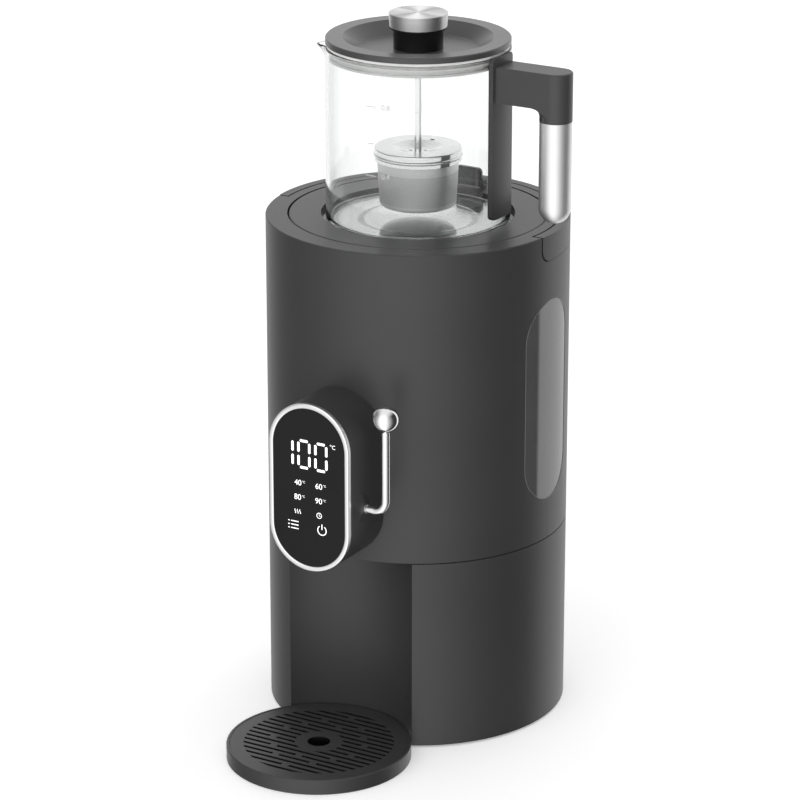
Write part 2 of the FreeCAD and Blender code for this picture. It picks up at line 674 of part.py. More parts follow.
def turned(name, corners, x=ZERO, y=ZERO):
    """A part turned about an upright axis from an outline of radius and height pairs."""
    body = new_body(name)
    sketch = sketch_on(body, "XZ_Plane")
    outline(sketch, corners)
    revolve(body, sketch)
    return place(body, x, y)


def stadium_prism(name, role, centre, half_width, half_straight, start, end):
    """A prism with a stadium outline, between two distances along the plane's normal."""
    body = new_body(name)
    sketch = sketch_on(body, role, start)
    stadium(sketch, centre, half_width, half_straight)
    pad(body, sketch, end - start)
    return body


def bent_rod(name, path_role, path_offset, stops, bend, radius, bore=None):
    """A round rod or tube along straight runs, parallel to the sketch axes, with bends between.

    The first run is along the sketch's first axis or its second, and the section lies across it.
    """
    body = new_body(name)
    path = sketch_on(body, path_role, path_offset)
    runs = []
    for index, (start, end) in enumerate(zip(stops, stops[1:])):
        steps = [towards(start[axis], end[axis], bend) for axis in (0, 1)]
        inner_start = start if index == 0 else tuple(start[axis] + steps[axis] for axis in (0, 1))
        is_last = index == len(stops) - 2
        inner_end = end if is_last else tuple(end[axis] - steps[axis] for axis in (0, 1))
        element = path.addGeometry(Part.LineSegment(flat(inner_start), flat(inner_end)))
        pin_point(path, element, 1, inner_start)
        pin_point(path, element, 2, inner_end)
        runs.append((element, inner_start, inner_end))
    for index, (before, after) in enumerate(zip(runs, runs[1:])):
        add_bend(path, before, after, stops[index + 1], bend)
    section_role, section_offset, centre = section_place(path_role, path_offset, stops)
    section = sketch_on(body, section_role, section_offset)
    circle(section, centre, radius)
    if bore:
        circle(section, centre, bore)
    pipe = body.newObject("PartDesign::AdditivePipe", name + "Pipe")
    pipe.Profile = section
    pipe.Spine = (path, [])
    return body


def towards(start, end, step):
    """A step along one axis that points from one stop to the next, or nothing."""
    if abs(end.value - start.value) < 1e-6:
        return ZERO
    return step if end.value > start.value else -step


def add_bend(path, before, after, corner, bend):
    """A quarter arc between two runs, tangent to both and drawn anticlockwise."""
    start = flat(before[2])
    end = flat(after[1])
    centre = start + end - flat(corner)
    turns_left = (start - centre).cross(end - centre).z > 0
    near, far = (1, 2) if turns_left else (2, 1)
    spoke = (start if turns_left else end) - centre
    begin = math.atan2(spoke.y, spoke.x)
    whole = Part.Circle(centre, Vector(0, 0, 1), bend.value)
    element = path.addGeometry(Part.ArcOfCircle(whole, begin, begin + math.pi / 2))
    path.addConstraint(Sketcher.Constraint("Coincident", before[0], 2, element, near))
    path.addConstraint(Sketcher.Constraint("Coincident", after[0], 1, element, far))
    constrain(path, bend, "Radius", element)


def section_place(path_role, path_offset, stops):
    """The plane, its offset and the section's centre for a path's first run."""
    start, following = stops[0], stops[1]
    runs_along_first = abs(following[0].value - start[0].value) > 1e-6
    if path_role == "XZ_Plane":
        depth = -path_offset
        if runs_along_first:
            return "YZ_Plane", start[0], (depth, start[1])
        return "XY_Plane", start[1], (start[0], depth)
    depth = path_offset
    if runs_along_first:
        return "XZ_Plane", -start[0], (depth, start[1])
    return "XY_Plane", start[1], (depth, start[0])


def corners_of(x, y):
    """Four places, mirrored about both axes."""
    return [(x, y), (-x, y), (-x, -y), (x, -y)]


# Lower housing and base

def niche_tool(radius, low, high):
    return cylinder(radius, low, high, y=-TRAY_REACH)


def lower_housing():
    margin = as_size(CUT_MARGIN)
    block = cut(cylinder(D.body_radius, BASE_LOW, LOWER_TOP),
                niche_tool(NICHE_RADIUS, BASE_LOW - margin, LOWER_TOP + margin))
    hollow = cut(cylinder(INNER_RADIUS, BASE_LOW - margin, LOWER_TOP + margin),
                 niche_tool(NICHE_BACK_RADIUS, BASE_LOW - margin * 2, LOWER_TOP + margin * 2))
    shell = cut(block, hollow)
    columns = []
    for x, y in corners_of(BOSS_X, BOSS_Y):
        columns.append(cylinder(D.boss_radius + D.fit_gap, BASE_TOP, BOSS_TOP, x, y))
    holes = []
    for x, y in corners_of(BOSS_X, BOSS_Y):
        holes.append(cylinder(D.screw_radius, BASE_TOP - margin, BASE_TOP + D.screw_length, x, y))
        holes.append(cylinder(D.screw_radius, DECK_TOP - D.screw_length, BOSS_TOP + margin, x, y))
    half_slot = D.tongue_width / 2 + D.fit_gap
    back = NICHE_BACK_RADIUS - TRAY_REACH
    slot = box((-half_slot, half_slot), (back - D.wall - margin, back + D.fit_gap),
               (D.tongue_low - D.fit_gap, D.tongue_low + D.tongue_height + D.fit_gap))
    half_inlet = D.inlet_half_width + D.fit_gap
    inlet = box((-half_inlet, half_inlet), (BOARD_BACK, D.body_radius + margin),
                (D.inlet_low - D.fit_gap, D.inlet_high + D.fit_gap))
    node("lower_housing", cut(fuse(shell, *columns), slot, inlet, *holes))


def base_plate():
    margin = as_size(CUT_MARGIN)
    disc = cylinder(INNER_RADIUS - D.fit_gap, BASE_LOW, BASE_TOP)
    boiler_seat = ring(D.boiler_radius, D.boiler_radius - D.wall, BASE_TOP, BOILER_LOW, y=BOILER_Y)
    tools = [niche_tool(NICHE_BACK_RADIUS + D.fit_gap, BASE_LOW - margin, BASE_TOP + margin)]
    for x, y in foot_places():
        tools.append(cylinder(D.foot_stem_radius, BASE_LOW - margin, BASE_TOP + margin, x, y))
    for x, y in corners_of(BOSS_X, BOSS_Y):
        head_top = BASE_TOP - D.base_thickness / 3
        tools.append(cylinder(D.screw_radius, BASE_LOW - margin, BASE_TOP + margin, x, y))
        tools.append(cylinder(D.screw_head_radius + D.fit_gap, BASE_LOW - margin, head_top, x, y))
    node("base_plate", cut(fuse(disc, boiler_seat), *tools))


def foot_places():
    """Four feet at the corners, and one on the body's axis under the weight of the boiler."""
    return corners_of(FOOT_X, FOOT_Y) + [(ZERO, ZERO)]


def rubber_feet():
    feet = []
    for x, y in foot_places():
        sole = cylinder(D.foot_radius, ZERO, BASE_LOW, x, y)
        stem = cylinder(D.foot_stem_radius, BASE_LOW / 2, BASE_TOP + D.foot_stem_radius, x, y)
        feet.append(fuse(sole, stem))
    node("rubber_feet", group(*feet))


def housing_screws():
    """Four screws from below hold the base plate, and four from above hold the deck."""
    screws = []
    seat = BASE_TOP - D.base_thickness / 3
    for x, y in corners_of(BOSS_X, BOSS_Y):
        head = cylinder(D.screw_head_radius, seat - D.screw_head_height, seat, x, y)
        screws.append(fuse(head, cylinder(D.screw_radius, seat - D.screw_head_height / 2,
                                          seat + D.screw_length - D.base_thickness, x, y)))
        head = cylinder(D.screw_head_radius, DECK_TOP, DECK_TOP + D.screw_head_height, x, y)
        screws.append(fuse(head, cylinder(D.screw_radius, DECK_TOP - D.screw_length + D.base_thickness,
                                          DECK_TOP + D.screw_head_height / 2, x, y)))
    node("housing_screws", group(*screws))


def mid_deck():
    margin = as_size(CUT_MARGIN)
    outer = INNER_RADIUS - D.fit_gap
    skirt = cut(ring(outer, DECK_SKIRT_RADIUS, SKIRT_LOW, UPPER_LOW),
                niche_tool(NICHE_BACK_RADIUS + D.fit_gap, SKIRT_LOW - margin, UPPER_LOW))
    disc = cylinder(outer, UPPER_LOW, DECK_TOP)
    tools = [cylinder(D.hose_radius + D.fit_gap, UPPER_LOW - margin, DECK_TOP + margin, y=RISER_Y),
             cylinder(D.hose_radius + D.fit_gap, UPPER_LOW - margin, DECK_TOP + margin,
                      SUCTION_X, BOILER_Y)]
    for x, y in corners_of(BOSS_X, BOSS_Y):
        tools.append(cylinder(D.screw_radius, SKIRT_LOW - margin, DECK_TOP + margin, x, y))
    node("mid_deck", cut(fuse(disc, skirt), *tools))


# Upper housing, bail, tank and window

def bail_profile(name, front, corner, low, top):
    """The bail seen from the side, as a prism right across the body: rounded at its lower front."""
    body = new_body(name)
    sketch = sketch_on(body, "YZ_Plane")
    back = D.body_radius + D.wall
    corners = [(-front, top), (back, top), (back, low), (corner - front, low), (-front, low + corner)]
    for start, end in zip(corners, corners[1:-1]):
        sketch.addGeometry(Part.LineSegment(flat(start), flat(end)))
    closing = sketch.addGeometry(Part.LineSegment(flat(corners[-1]), flat(corners[0])))
    arc = arc_between(sketch, (corner - front, low + corner), corner, 180, 270)
    for side in (0, 1):
        sketch.addConstraint(Sketcher.Constraint("Coincident", side, 2, side + 1, 1))
    sketch.addConstraint(Sketcher.Constraint("Coincident", 2, 2, arc, 2))
    sketch.addConstraint(Sketcher.Constraint("Coincident", closing, 1, arc, 1))
    sketch.addConstraint(Sketcher.Constraint("Coincident", closing, 2, 0, 1))
    for side in (0, 1, 2):
        pin_point(sketch, side, 1, corners[side])
    constrain(sketch, corners[3][0], "DistanceX", -1, 1, arc, 2)
    constrain(sketch, corners[4][1], "DistanceY", -1, 1, arc, 1)
    pad(body, sketch, (D.body_radius + D.wall) * 2, both_sides=True)
    return body


def bail_recess():
    """The room for the bail: everything outside the rim wall from the ends of the bail back."""
    margin = as_size(CUT_MARGIN)
    side = bail_profile("BailRecess", D.bail_front + D.bail_front_gap,
                        D.bail_corner, BAIL_LOW - D.bail_floor_gap, RIM_TOP + margin)
    band = ring(D.body_radius + margin, BAIL_INNER_RADIUS - D.bail_side_gap,
                BAIL_LOW - margin, RIM_TOP + margin * 2)
    return common(side, band)


def upper_housing():
    margin = as_size(CUT_MARGIN)
    rim_inner = COVER_RADIUS + D.cover_gap
    shell = turned("UpperShell", [
        (INNER_RADIUS, UPPER_LOW), (D.body_radius, UPPER_LOW),
        (D.body_radius, RIM_TOP - D.edge_break), (D.body_radius - D.edge_break, RIM_TOP),
        (rim_inner, RIM_TOP), (rim_inner, LEDGE_TOP), (LEDGE_RADIUS, LEDGE_TOP),
        (LEDGE_RADIUS, RIM_LOW), (INNER_RADIUS, RIM_LOW)])
    window = stadium_prism("WindowCut", "YZ_Plane", (D.window_y, WINDOW_CENTRE),
                           D.window_half_width, WINDOW_HALF_STRAIGHT, D.hatch_depth, D.body_radius + margin)
    hatch = box((-D.hatch_half_width, D.hatch_half_width),
                (-D.body_radius - margin, -INNER_RADIUS + margin * 2),
                (HATCH_LOW, HATCH_HIGH))
    pivot = cylinder_along_x(D.bail_pin_radius, -BAIL_INNER_RADIUS - margin,
                             BAIL_INNER_RADIUS + margin, BAIL_AXIS_Y, BAIL_AXIS_Z)
    node("upper_housing", cut(shell, bail_recess(), window, hatch, pivot))


def bail_handle():
    side = bail_profile("BailSide", D.bail_front, D.bail_corner, BAIL_LOW, RIM_TOP)
    band = ring(D.body_radius, BAIL_INNER_RADIUS, BAIL_LOW, RIM_TOP)
    reach = BAIL_INNER_RADIUS + D.bail_pin_engagement + D.fit_gap
    bores = cylinder_along_x(D.bail_pin_radius + D.run_gap, -reach, reach, BAIL_AXIS_Y, BAIL_AXIS_Z)
    node("bail_handle", cut(common(side, band), bores))


def bail_pins():
    end = BAIL_INNER_RADIUS + D.bail_pin_engagement
    start = end - D.bail_pin_length
    node("bail_pins", group(
        cylinder_along_x(D.bail_pin_radius, start, end, BAIL_AXIS_Y, BAIL_AXIS_Z),
        cylinder_along_x(D.bail_pin_radius, -end, -start, BAIL_AXIS_Y, BAIL_AXIS_Z)))


def stepped(radius, front, low, step, high):
    """A cylinder whose front is cut away below a step."""
    margin = as_size(CUT_MARGIN)
    notch = box((-radius - margin, radius + margin), (-radius - margin, -front), (low - margin, step))
    return cut(cylinder(radius, low, high), notch)


def water_tank():
    margin = as_size(CUT_MARGIN)
    step = DECK_TOP + D.tank_step_height
    outside = stepped(TANK_RADIUS, TANK_STEP_Y, DECK_TOP, step, TANK_TOP)
    inside = stepped(TANK_RADIUS - D.tank_wall, TANK_STEP_Y - D.tank_wall,
                     DECK_TOP + D.tank_wall, step + D.tank_wall, TANK_TOP + margin)
    spigot = cylinder(D.hose_radius, DECK_TOP - D.spigot_length, DECK_TOP + D.tank_wall / 2,
                      SUCTION_X, BOILER_Y)
    bore = cylinder(D.hose_bore, DECK_TOP - D.spigot_length - margin, DECK_TOP + margin,
                    SUCTION_X, BOILER_Y)
    node("water_tank", cut(fuse(outside, spigot), inside, bore))


def tank_seal():
    node("tank_seal", ring(TANK_RADIUS, TANK_SEAL_RADIUS, TANK_TOP, RIM_LOW))


def window_band(name, radius, thickness, overlap):
    """A curved stadium plate in or behind the window."""
    margin = as_size(CUT_MARGIN)
    prism = stadium_prism(name, "YZ_Plane", (D.window_y, WINDOW_CENTRE), D.window_half_width + overlap,
                          WINDOW_HALF_STRAIGHT, D.hatch_depth, D.body_radius + margin)
    band = ring(radius, radius - thickness, WINDOW_LOW - margin * 2, WINDOW_HIGH + margin * 2)
    return common(prism, band)


def tank_window():
    thickness = D.wall - D.window_inset
    node("tank_window", window_band("Lens", D.body_radius - D.window_inset, thickness, -D.window_gap))


def window_gasket():
    margin = as_size(CUT_MARGIN)
    radius = INNER_RADIUS - D.skin_gap
    plate = window_band("Gasket", radius, D.gasket_thickness, D.gasket_overlap)
    opening = stadium_prism("GasketCut", "YZ_Plane", (D.window_y, WINDOW_CENTRE),
                            D.window_half_width - D.gasket_overlap, WINDOW_HALF_STRAIGHT,
                            D.hatch_depth - margin, D.body_radius + margin)
    node("window_gasket", cut(plate, opening))


# Heater, pump and hoses

def boiler_shell():
    margin = as_size(CUT_MARGIN)
    inner = D.boiler_radius - D.boiler_wall
    shell = turned("BoilerShell", [
        (ZERO, BOILER_LOW), (D.boiler_radius, BOILER_LOW), (D.boiler_radius, BOILER_TOP),
        (ZERO, BOILER_TOP), (ZERO, BOILER_TOP - D.boiler_wall),
        (inner, BOILER_TOP - D.boiler_wall), (inner, BOILER_LOW + D.boiler_wall),
        (ZERO, BOILER_LOW + D.boiler_wall)], y=BOILER_Y)
    top = BOILER_TOP + margin
    tools = [cylinder(D.hose_bore, BOILER_TOP - margin, top, y=BOILER_OUTLET_Y),
             cylinder(D.sensor_probe_radius, BOILER_TOP - margin, top, y=SENSOR_Y),
             cylinder_along_x(D.hose_bore, inner - margin, D.boiler_radius + margin,
                              BOILER_Y, D.port_height)]
    for x in (-D.element_spread, D.element_spread):
        tools.append(cylinder(D.element_radius, BOILER_LOW - margin, BOILER_LOW + margin, x, BOILER_Y))
    node("boiler_shell", cut(shell, *tools))


def boiler_element():
    low = BOILER_LOW - D.boiler_wall
    spread = D.element_spread
    rod = bent_rod("Element", "XZ_Plane", -BOILER_Y,
                   [(-spread, low), (-spread, ELEMENT_TOP), (spread, ELEMENT_TOP), (spread, low)],
                   D.element_bend, D.element_radius)
    node("boiler_element", rod)


def temperature_sensor():
    head = cylinder(D.sensor_radius, BOILER_TOP, BOILER_TOP + D.sensor_height, y=SENSOR_Y)
    probe = cylinder(D.sensor_probe_radius, BOILER_TOP - D.sensor_probe_length,
                     BOILER_TOP + D.sensor_height / 2, y=SENSOR_Y)
    node("temperature_sensor", fuse(head, probe))


def pump_housing():
    margin = as_size(CUT_MARGIN)
    x, y = PUMP_X, BOILER_Y
    block = cylinder(D.pump_radius, BASE_TOP, PUMP_TOP, x, y)
    chamber = cylinder(D.pump_radius - D.pump_wall, BASE_TOP + D.pump_wall, PUMP_TOP - D.pump_wall, x, y)
    shaft_bore = cylinder(D.rotor_shaft_radius + D.run_gap, PUMP_TOP - margin, PUMP_TOP + margin, x, y)
    suction = cylinder_along_x(D.hose_bore, x + D.pump_radius - D.pump_wall * 2,
                               x + D.pump_radius + margin, y, D.port_height)
    outlet = cylinder_along_x(D.hose_bore, x - D.pump_radius - margin,
                              x - D.pump_radius + D.pump_wall * 2, y, D.port_height)
    node("pump_housing", cut(block, chamber, shaft_bore, suction, outlet))


def pump_motor():
    x, y = PUMP_X, BOILER_Y
    can = cylinder(D.motor_radius, PUMP_TOP, PUMP_TOP + D.motor_height, x, y)
    shaft_top = BASE_TOP + D.pump_wall + D.lift_gap + D.rotor_shaft_length
    bore = cylinder(D.rotor_shaft_radius + D.run_gap, PUMP_TOP - CUT_MARGIN, shaft_top + D.lift_gap, x, y)
    node("pump_motor", cut(can, bore))


def pump_rotor():
    x, y = PUMP_X, BOILER_Y
    low = BASE_TOP + D.pump_wall + D.lift_gap
    parts = [cylinder(D.rotor_shaft_radius, low, low + D.rotor_shaft_length, x, y),
             cylinder(D.rotor_hub_radius, low, low + D.rotor_height, x, y)]
    disc_height = D.rotor_height / 5
    parts.append(cylinder(D.rotor_radius, low, low + disc_height, x, y))
    for index in range(VANES):
        vane = DOC.addObject("Part::Box", "Vane")
        bind(vane, Length=D.rotor_radius - D.rotor_hub_radius / 2, Width=D.vane_width, Height=D.rotor_height)
        angle = 360 * index / VANES
        turn = Rotation(Vector(0, 0, 1), angle)
        start = D.rotor_hub_radius / 4
        along = (math.cos(math.radians(angle)), math.sin(math.radians(angle)))
        half = D.vane_width / 2
        spot = (x + start * along[0] + half * along[1], y + start * along[1] - half * along[0], low)
        place(vane, *spot, turn=(turn.Axis, math.degrees(turn.Angle)))
        parts.append(vane)
    node("pump_rotor", fuse(*parts))


def hoses():
    suction_top = DECK_TOP - D.spigot_length
    suction = bent_rod("Suction", "XZ_Plane", -BOILER_Y,
                       [(SUCTION_X, suction_top), (SUCTION_X, D.port_height),
                        (PUMP_X + D.pump_radius, D.port_height)],
                       D.hose_bend, D.hose_radius, D.hose_bore)
    node("suction_hose", suction)
    start = hose_contact(D.boiler_radius)
    end = PUMP_X - hose_contact(D.pump_radius)
    tube = cut(cylinder_along_x(D.hose_radius, start, end, BOILER_Y, D.port_height),
               cylinder_along_x(D.hose_bore, start - CUT_MARGIN, end + CUT_MARGIN, BOILER_Y, D.port_height),
               cylinder(D.boiler_radius + D.skin_gap, BASE_TOP, BOILER_TOP, y=BOILER_Y),
               cylinder(D.pump_radius + D.skin_gap, BASE_TOP, BOILER_TOP, PUMP_X, BOILER_Y))
    node("feed_hose", tube)
    riser = bent_rod("Riser", "YZ_Plane", ZERO,
                     [(VALVE_BACK, VALVE_INLET), (RISER_Y, VALVE_INLET),
                      (RISER_Y, RISER_LOW), (BOILER_OUTLET_Y, RISER_LOW),
                      (BOILER_OUTLET_Y, BOILER_TOP)],
                     D.hose_bend, D.hose_radius, D.hose_bore)
    node("outlet_hose", riser)


def hose_contact(radius):
    """Where the side of a hose along X meets a round wall of this radius, from the wall's axis."""
    return root(radius * radius - D.hose_radius * D.hose_radius)


# Electronics and the power inlet

def main_circuit_board():
    board = box((-D.board_half_width, D.board_half_width), (BOARD_FRONT, BOARD_BACK),
                (D.board_height, D.board_height + D.board_thickness))
    node("main_circuit_board", board)


def board_standoffs():
    posts = []
    reach = D.board_half_width - D.board_margin
    for x in (-reach, reach):
        for y in (BOARD_FRONT + D.board_margin, BOARD_BACK - D.board_margin):
            posts.append(cylinder(D.standoff_radius, BASE_TOP, D.board_height, x, y))
    node("board_standoffs", group(*posts))


def block_on_board(x, width, depth, height):
    """A block that stands on the main board, centred front to back."""
    middle = (BOARD_FRONT + BOARD_BACK) / 2
    low = D.board_height + D.board_thickness
    return box((x - width / 2, x + width / 2), (middle - depth / 2, middle + depth / 2), (low, low + height))


def board_blocks():
    node("power_supply", block_on_board(D.supply_x, D.supply_width, D.supply_depth, D.supply_height))
    node("power_relay", block_on_board(D.relay_x, D.relay_width, D.relay_depth, D.relay_height))


def power_inlet():
    margin = as_size(CUT_MARGIN)
    half = D.inlet_half_width
    shell = box((-half, half), (INLET_FACE - D.inlet_depth, INLET_FACE), (D.inlet_low, D.inlet_high))
    flange_half = half + D.inlet_flange
    wall_inside = root(INNER_RADIUS * INNER_RADIUS - flange_half * flange_half)
    flange_face = wall_inside - D.inlet_flange_gap
    flange = box((-flange_half, flange_half), (flange_face - D.inlet_wall, flange_face),
                 (D.inlet_low - D.inlet_flange, D.inlet_high + D.inlet_flange))
    inner = half - D.inlet_wall
    socket = box((-inner, inner), (INLET_FACE - D.inlet_depth + D.inlet_wall * 2, INLET_FACE + margin),
                 (D.inlet_low + D.inlet_wall, D.inlet_high - D.inlet_wall))
    node("power_inlet", cut(fuse(shell, flange), socket))


def inlet_contacts():
    floor = INLET_FACE - D.inlet_depth + D.inlet_wall * 2
    middle = (D.inlet_low + D.inlet_high) / 2
    contacts = []
    for x, lift in ((-D.contact_spread, ZERO), (ZERO, D.contact_lift), (D.contact_spread, ZERO)):
        low = middle - D.contact_height / 2 + lift - D.contact_lift / 2
        contacts.append(box((x - D.contact_width / 2, x + D.contact_width / 2),
                            (floor, floor + D.contact_length), (low, low + D.contact_height)))
    node("inlet_contacts", group(*contacts))


# Control pod

def pod_prism(name, inset, start, end):
    """The pod's outline, smaller by an inset all round, between two distances from the body axis."""
    return stadium_prism(name, "XZ_Plane", (ZERO, D.pod_centre), D.pod_half_width - inset,
                         D.pod_half_straight, start, end)


def pod_housing():
    margin = as_size(CUT_MARGIN)
    start = D.hatch_depth
    outside = pod_prism("PodOutside", ZERO, start, POD_BACK_OF_RING)
    hollow = pod_prism("PodHollow", D.pod_wall, start - margin, POD_BACK_OF_LIP)
    opening = pod_prism("PodOpening", D.pod_ring_width + D.pod_lip,
                        start - margin, POD_BACK_OF_RING + margin)
    body = cylinder(D.body_radius + D.skin_gap, BASE_LOW, RIM_TOP)
    nozzle = cylinder(D.nozzle_radius, NOZZLE_LOW, D.pod_centre, y=TAP_Y)
    bush = cylinder_along_x(D.bush_radius, ZERO, D.pod_half_width + margin, TAP_Y, LEVER_HEIGHT)
    node("pod_housing", cut(outside, hollow, opening, body, nozzle, bush))


def pod_ring():
    margin = as_size(CUT_MARGIN)
    outside = pod_prism("RingOutside", ZERO, POD_BACK_OF_RING, POD_FACE)
    inside = pod_prism("RingInside", D.pod_ring_width, POD_BACK_OF_RING - margin, POD_FACE + margin)
    node("pod_ring", cut(outside, inside))


def display_glass():
    glass = pod_prism("DisplayGlass", D.pod_ring_width + D.glass_gap, POD_BACK_OF_RING,
                      POD_FACE - D.glass_inset)
    node("display_glass", glass)


def display_board():
    board = pod_prism("DisplayBoard", D.pod_wall + D.board_clearance,
                      POD_BACK_OF_LIP - D.board_thickness, POD_BACK_OF_LIP)
    node("display_board", board)


# Tap

def spout_nozzle():
    margin = as_size(CUT_MARGIN)
    tube = cut(cylinder(D.nozzle_radius, NOZZLE_LOW, VALVE_LOW, y=TAP_Y),
               cylinder(D.nozzle_bore, NOZZLE_LOW - margin, VALVE_LOW + margin, y=TAP_Y))
    node("spout_nozzle", tube)


def valve_body():
    margin = as_size(CUT_MARGIN)
    block = box((-D.valve_half_width, D.valve_half_width), (TAP_Y - D.nozzle_radius, VALVE_BACK),
                (VALVE_LOW, VALVE_TOP))
    chamber = cylinder(D.valve_chamber_radius, VALVE_LOW - margin, VALVE_SEAT, y=TAP_Y)
    throat = cylinder(D.valve_seat_radius, VALVE_LOW, VALVE_GUIDE, y=TAP_Y)
    guide = cylinder(D.plunger_radius + D.run_gap, VALVE_LOW, VALVE_TOP + margin, y=TAP_Y)
    inlet = cylinder_along_y(D.hose_bore, TAP_Y, VALVE_BACK + margin, ZERO, VALVE_INLET)
    node("valve_body", cut(block, chamber, throat, guide, inlet))


def cam_underside():
    return LEVER_HEIGHT - D.cam_radius


def valve_plunger():
    """A stem with a closing disc under the valve seat; pushed down it opens the valve."""
    top = cam_underside() - D.plunger_gap
    disc_top = VALVE_SEAT - D.plunger_gap
    low = disc_top - D.plunger_disc_height
    stem = cylinder(D.plunger_radius, low, top, y=TAP_Y)
    disc = cylinder(D.plunger_disc_radius, low, disc_top, y=TAP_Y)
    head = cylinder(D.plunger_head_radius, top - D.plunger_head_height, top, y=TAP_Y)
    node("valve_plunger", fuse(stem, disc, head))


def lever_bush():
    margin = as_size(CUT_MARGIN)
    side = D.pod_half_width
    sleeve = cylinder_along_x(D.bush_radius, side - D.bush_length, side, TAP_Y, LEVER_HEIGHT)
    boss = DOC.addObject("Part::Cone", "Boss")
    bind(boss, Radius1=D.bush_foot_radius, Radius2=D.bush_tip_radius, Height=D.bush_reach)
    place(boss, side, TAP_Y, LEVER_HEIGHT, turn=(Vector(0, 1, 0), 90))
    bore = cylinder_along_x(D.spindle_radius + D.run_gap, side - D.bush_length - margin,
                            side + D.bush_reach + margin, TAP_Y, LEVER_HEIGHT)
    node("lever_bush", cut(fuse(sleeve, boss), bore))


def collar_start():
    return D.pod_half_width + D.bush_reach + D.lever_gap


def lever_spindle():
    shaft = cylinder_along_x(D.spindle_radius, D.spindle_end, collar_start(), TAP_Y, LEVER_HEIGHT)
    cam = cylinder_along_x(D.cam_radius, -D.cam_width / 2, D.cam_width / 2,
                           TAP_Y - D.cam_offset, LEVER_HEIGHT)
    node("lever_spindle", fuse(shaft, cam))


def lever_rod():
    start = collar_start()
    rod = bent_rod("LeverRod", "XZ_Plane", -TAP_Y,
                   [(start, LEVER_HEIGHT), (D.lever_rod_x, LEVER_HEIGHT),
                    (D.lever_rod_x, D.ball_height - D.ball_radius / 2)],
                   D.lever_bend, D.lever_rod_radius)
    collar = cylinder_along_x(D.lever_collar_radius, start, start + D.lever_collar_width,
                              TAP_Y, LEVER_HEIGHT)
    node("lever_rod", cut(fuse(rod, collar), sphere(D.ball_radius, D.lever_rod_x, TAP_Y, D.ball_height)))


def lever_ball():
    node("lever_ball", sphere(D.ball_radius, D.lever_rod_x, TAP_Y, D.ball_height))


# Drip tray

def drip_tray():
    margin = as_size(CUT_MARGIN)
    seat = D.tray_height - D.grate_inset - D.grate_thickness - D.lift_gap
    grate_room = D.grate_radius + D.fit_gap
    bevel = D.edge_break
    dish = turned("TrayDish", [
        (ZERO, ZERO), (D.tray_radius - bevel, ZERO), (D.tray_radius, bevel),
        (D.tray_radius, D.tray_height - bevel), (D.tray_radius - bevel, D.tray_height),
        (grate_room, D.tray_height), (grate_room, seat),
        (D.grate_radius - D.grate_seat, seat), (D.grate_radius - D.grate_seat, D.tray_floor),
        (ZERO, D.tray_floor)], y=-TRAY_REACH)
    back = D.tray_radius - TRAY_REACH
    half = D.tongue_width / 2
    tongue = box((-half, half), (back - margin, back + D.tongue_reach),
                 (D.tongue_low, D.tongue_low + D.tongue_height))
    room = cylinder(grate_room, ZERO, D.tray_height, y=-TRAY_REACH)
    node("drip_tray", fuse(dish, cut(tongue, room)))


def bridges_of(row):
    """Where the bridges of a slot row stand. Rows are counted from the middle of the grate."""
    return {2: (-D.outer_bridge, D.outer_bridge), 4: (-D.middle_bridge, D.middle_bridge), 5: (ZERO,),
            6: (-D.inner_bridge, D.inner_bridge), 8: (ZERO,)}.get(row, ())


def slot_row(row, side):
    """The openings of one row between its bridges, on the front or the back half of the grate."""
    middle = D.slot_pitch * (row - 0.5) * side - TRAY_REACH
    half = D.slot_width / 2
    low = D.tray_height - D.grate_thickness * 2
    edges = [-D.slot_field_radius]
    for spot in bridges_of(row):
        edges += [spot - D.bridge_width / 2, spot + D.bridge_width / 2]
    edges.append(D.slot_field_radius)
    return [box((start, end), (middle - half, middle + half), (low, D.tray_height))
            for start, end in zip(edges[::2], edges[1::2])]


def drip_grate():
    top = D.tray_height - D.grate_inset
    low = top - D.grate_thickness
    bars = []
    for row in range(1, SLOT_ROWS + 1):
        for side in (-1, 1):
            bars.extend(slot_row(row, side))
    field = ring(D.slot_field_radius, D.plain_radius, low - CUT_MARGIN, D.tray_height, y=-TRAY_REACH)
    slots = common(group(*bars), field)
    disc = cylinder(D.grate_radius, low, top, y=-TRAY_REACH)
    drain = cylinder(D.drain_radius, low - CUT_MARGIN, top + CUT_MARGIN, y=-TRAY_REACH)
    node("drip_grate", cut(disc, slots, drain))


# Cover with the hot plate

def cover_ring():
    shelf_top = PLATE_LOW
    shelf_low = shelf_top - D.cover_wall
    underside = RIM_TOP - D.wall
    web_radius = WELL_RADIUS + D.cover_wall
    shell = turned("CoverRing", [
        (WELL_RADIUS, RIM_TOP), (COVER_RADIUS - D.edge_break, RIM_TOP),
        (COVER_RADIUS, RIM_TOP - D.edge_break), (COVER_RADIUS, COVER_LOW),
        (COVER_RADIUS - D.cover_wall, COVER_LOW), (COVER_RADIUS - D.cover_wall, underside),
        (web_radius, underside), (web_radius, shelf_low), (PLATE_SHELF_RADIUS, shelf_low),
        (PLATE_SHELF_RADIUS, shelf_top), (WELL_RADIUS, shelf_top)])
    inner = D.tab_half_width + D.lug_gap
    outer = inner + D.lug_width
    lugs = []
    for start, end in ((inner, outer), (-outer, -inner)):
        lugs.append(cylinder_along_x(D.lug_radius, start, end, TAB_Y, TAB_AXIS))
        lugs.append(box((start, end), (TAB_Y - D.lug_radius, TAB_Y + D.lug_radius),
                        (RIM_TOP - D.wall / 2, TAB_AXIS)))
    pin = cylinder_along_x(D.tab_pin_radius, -outer - CUT_MARGIN, outer + CUT_MARGIN, TAB_Y, TAB_AXIS)
    node("cover_ring", cut(fuse(shell, *lugs), pin))


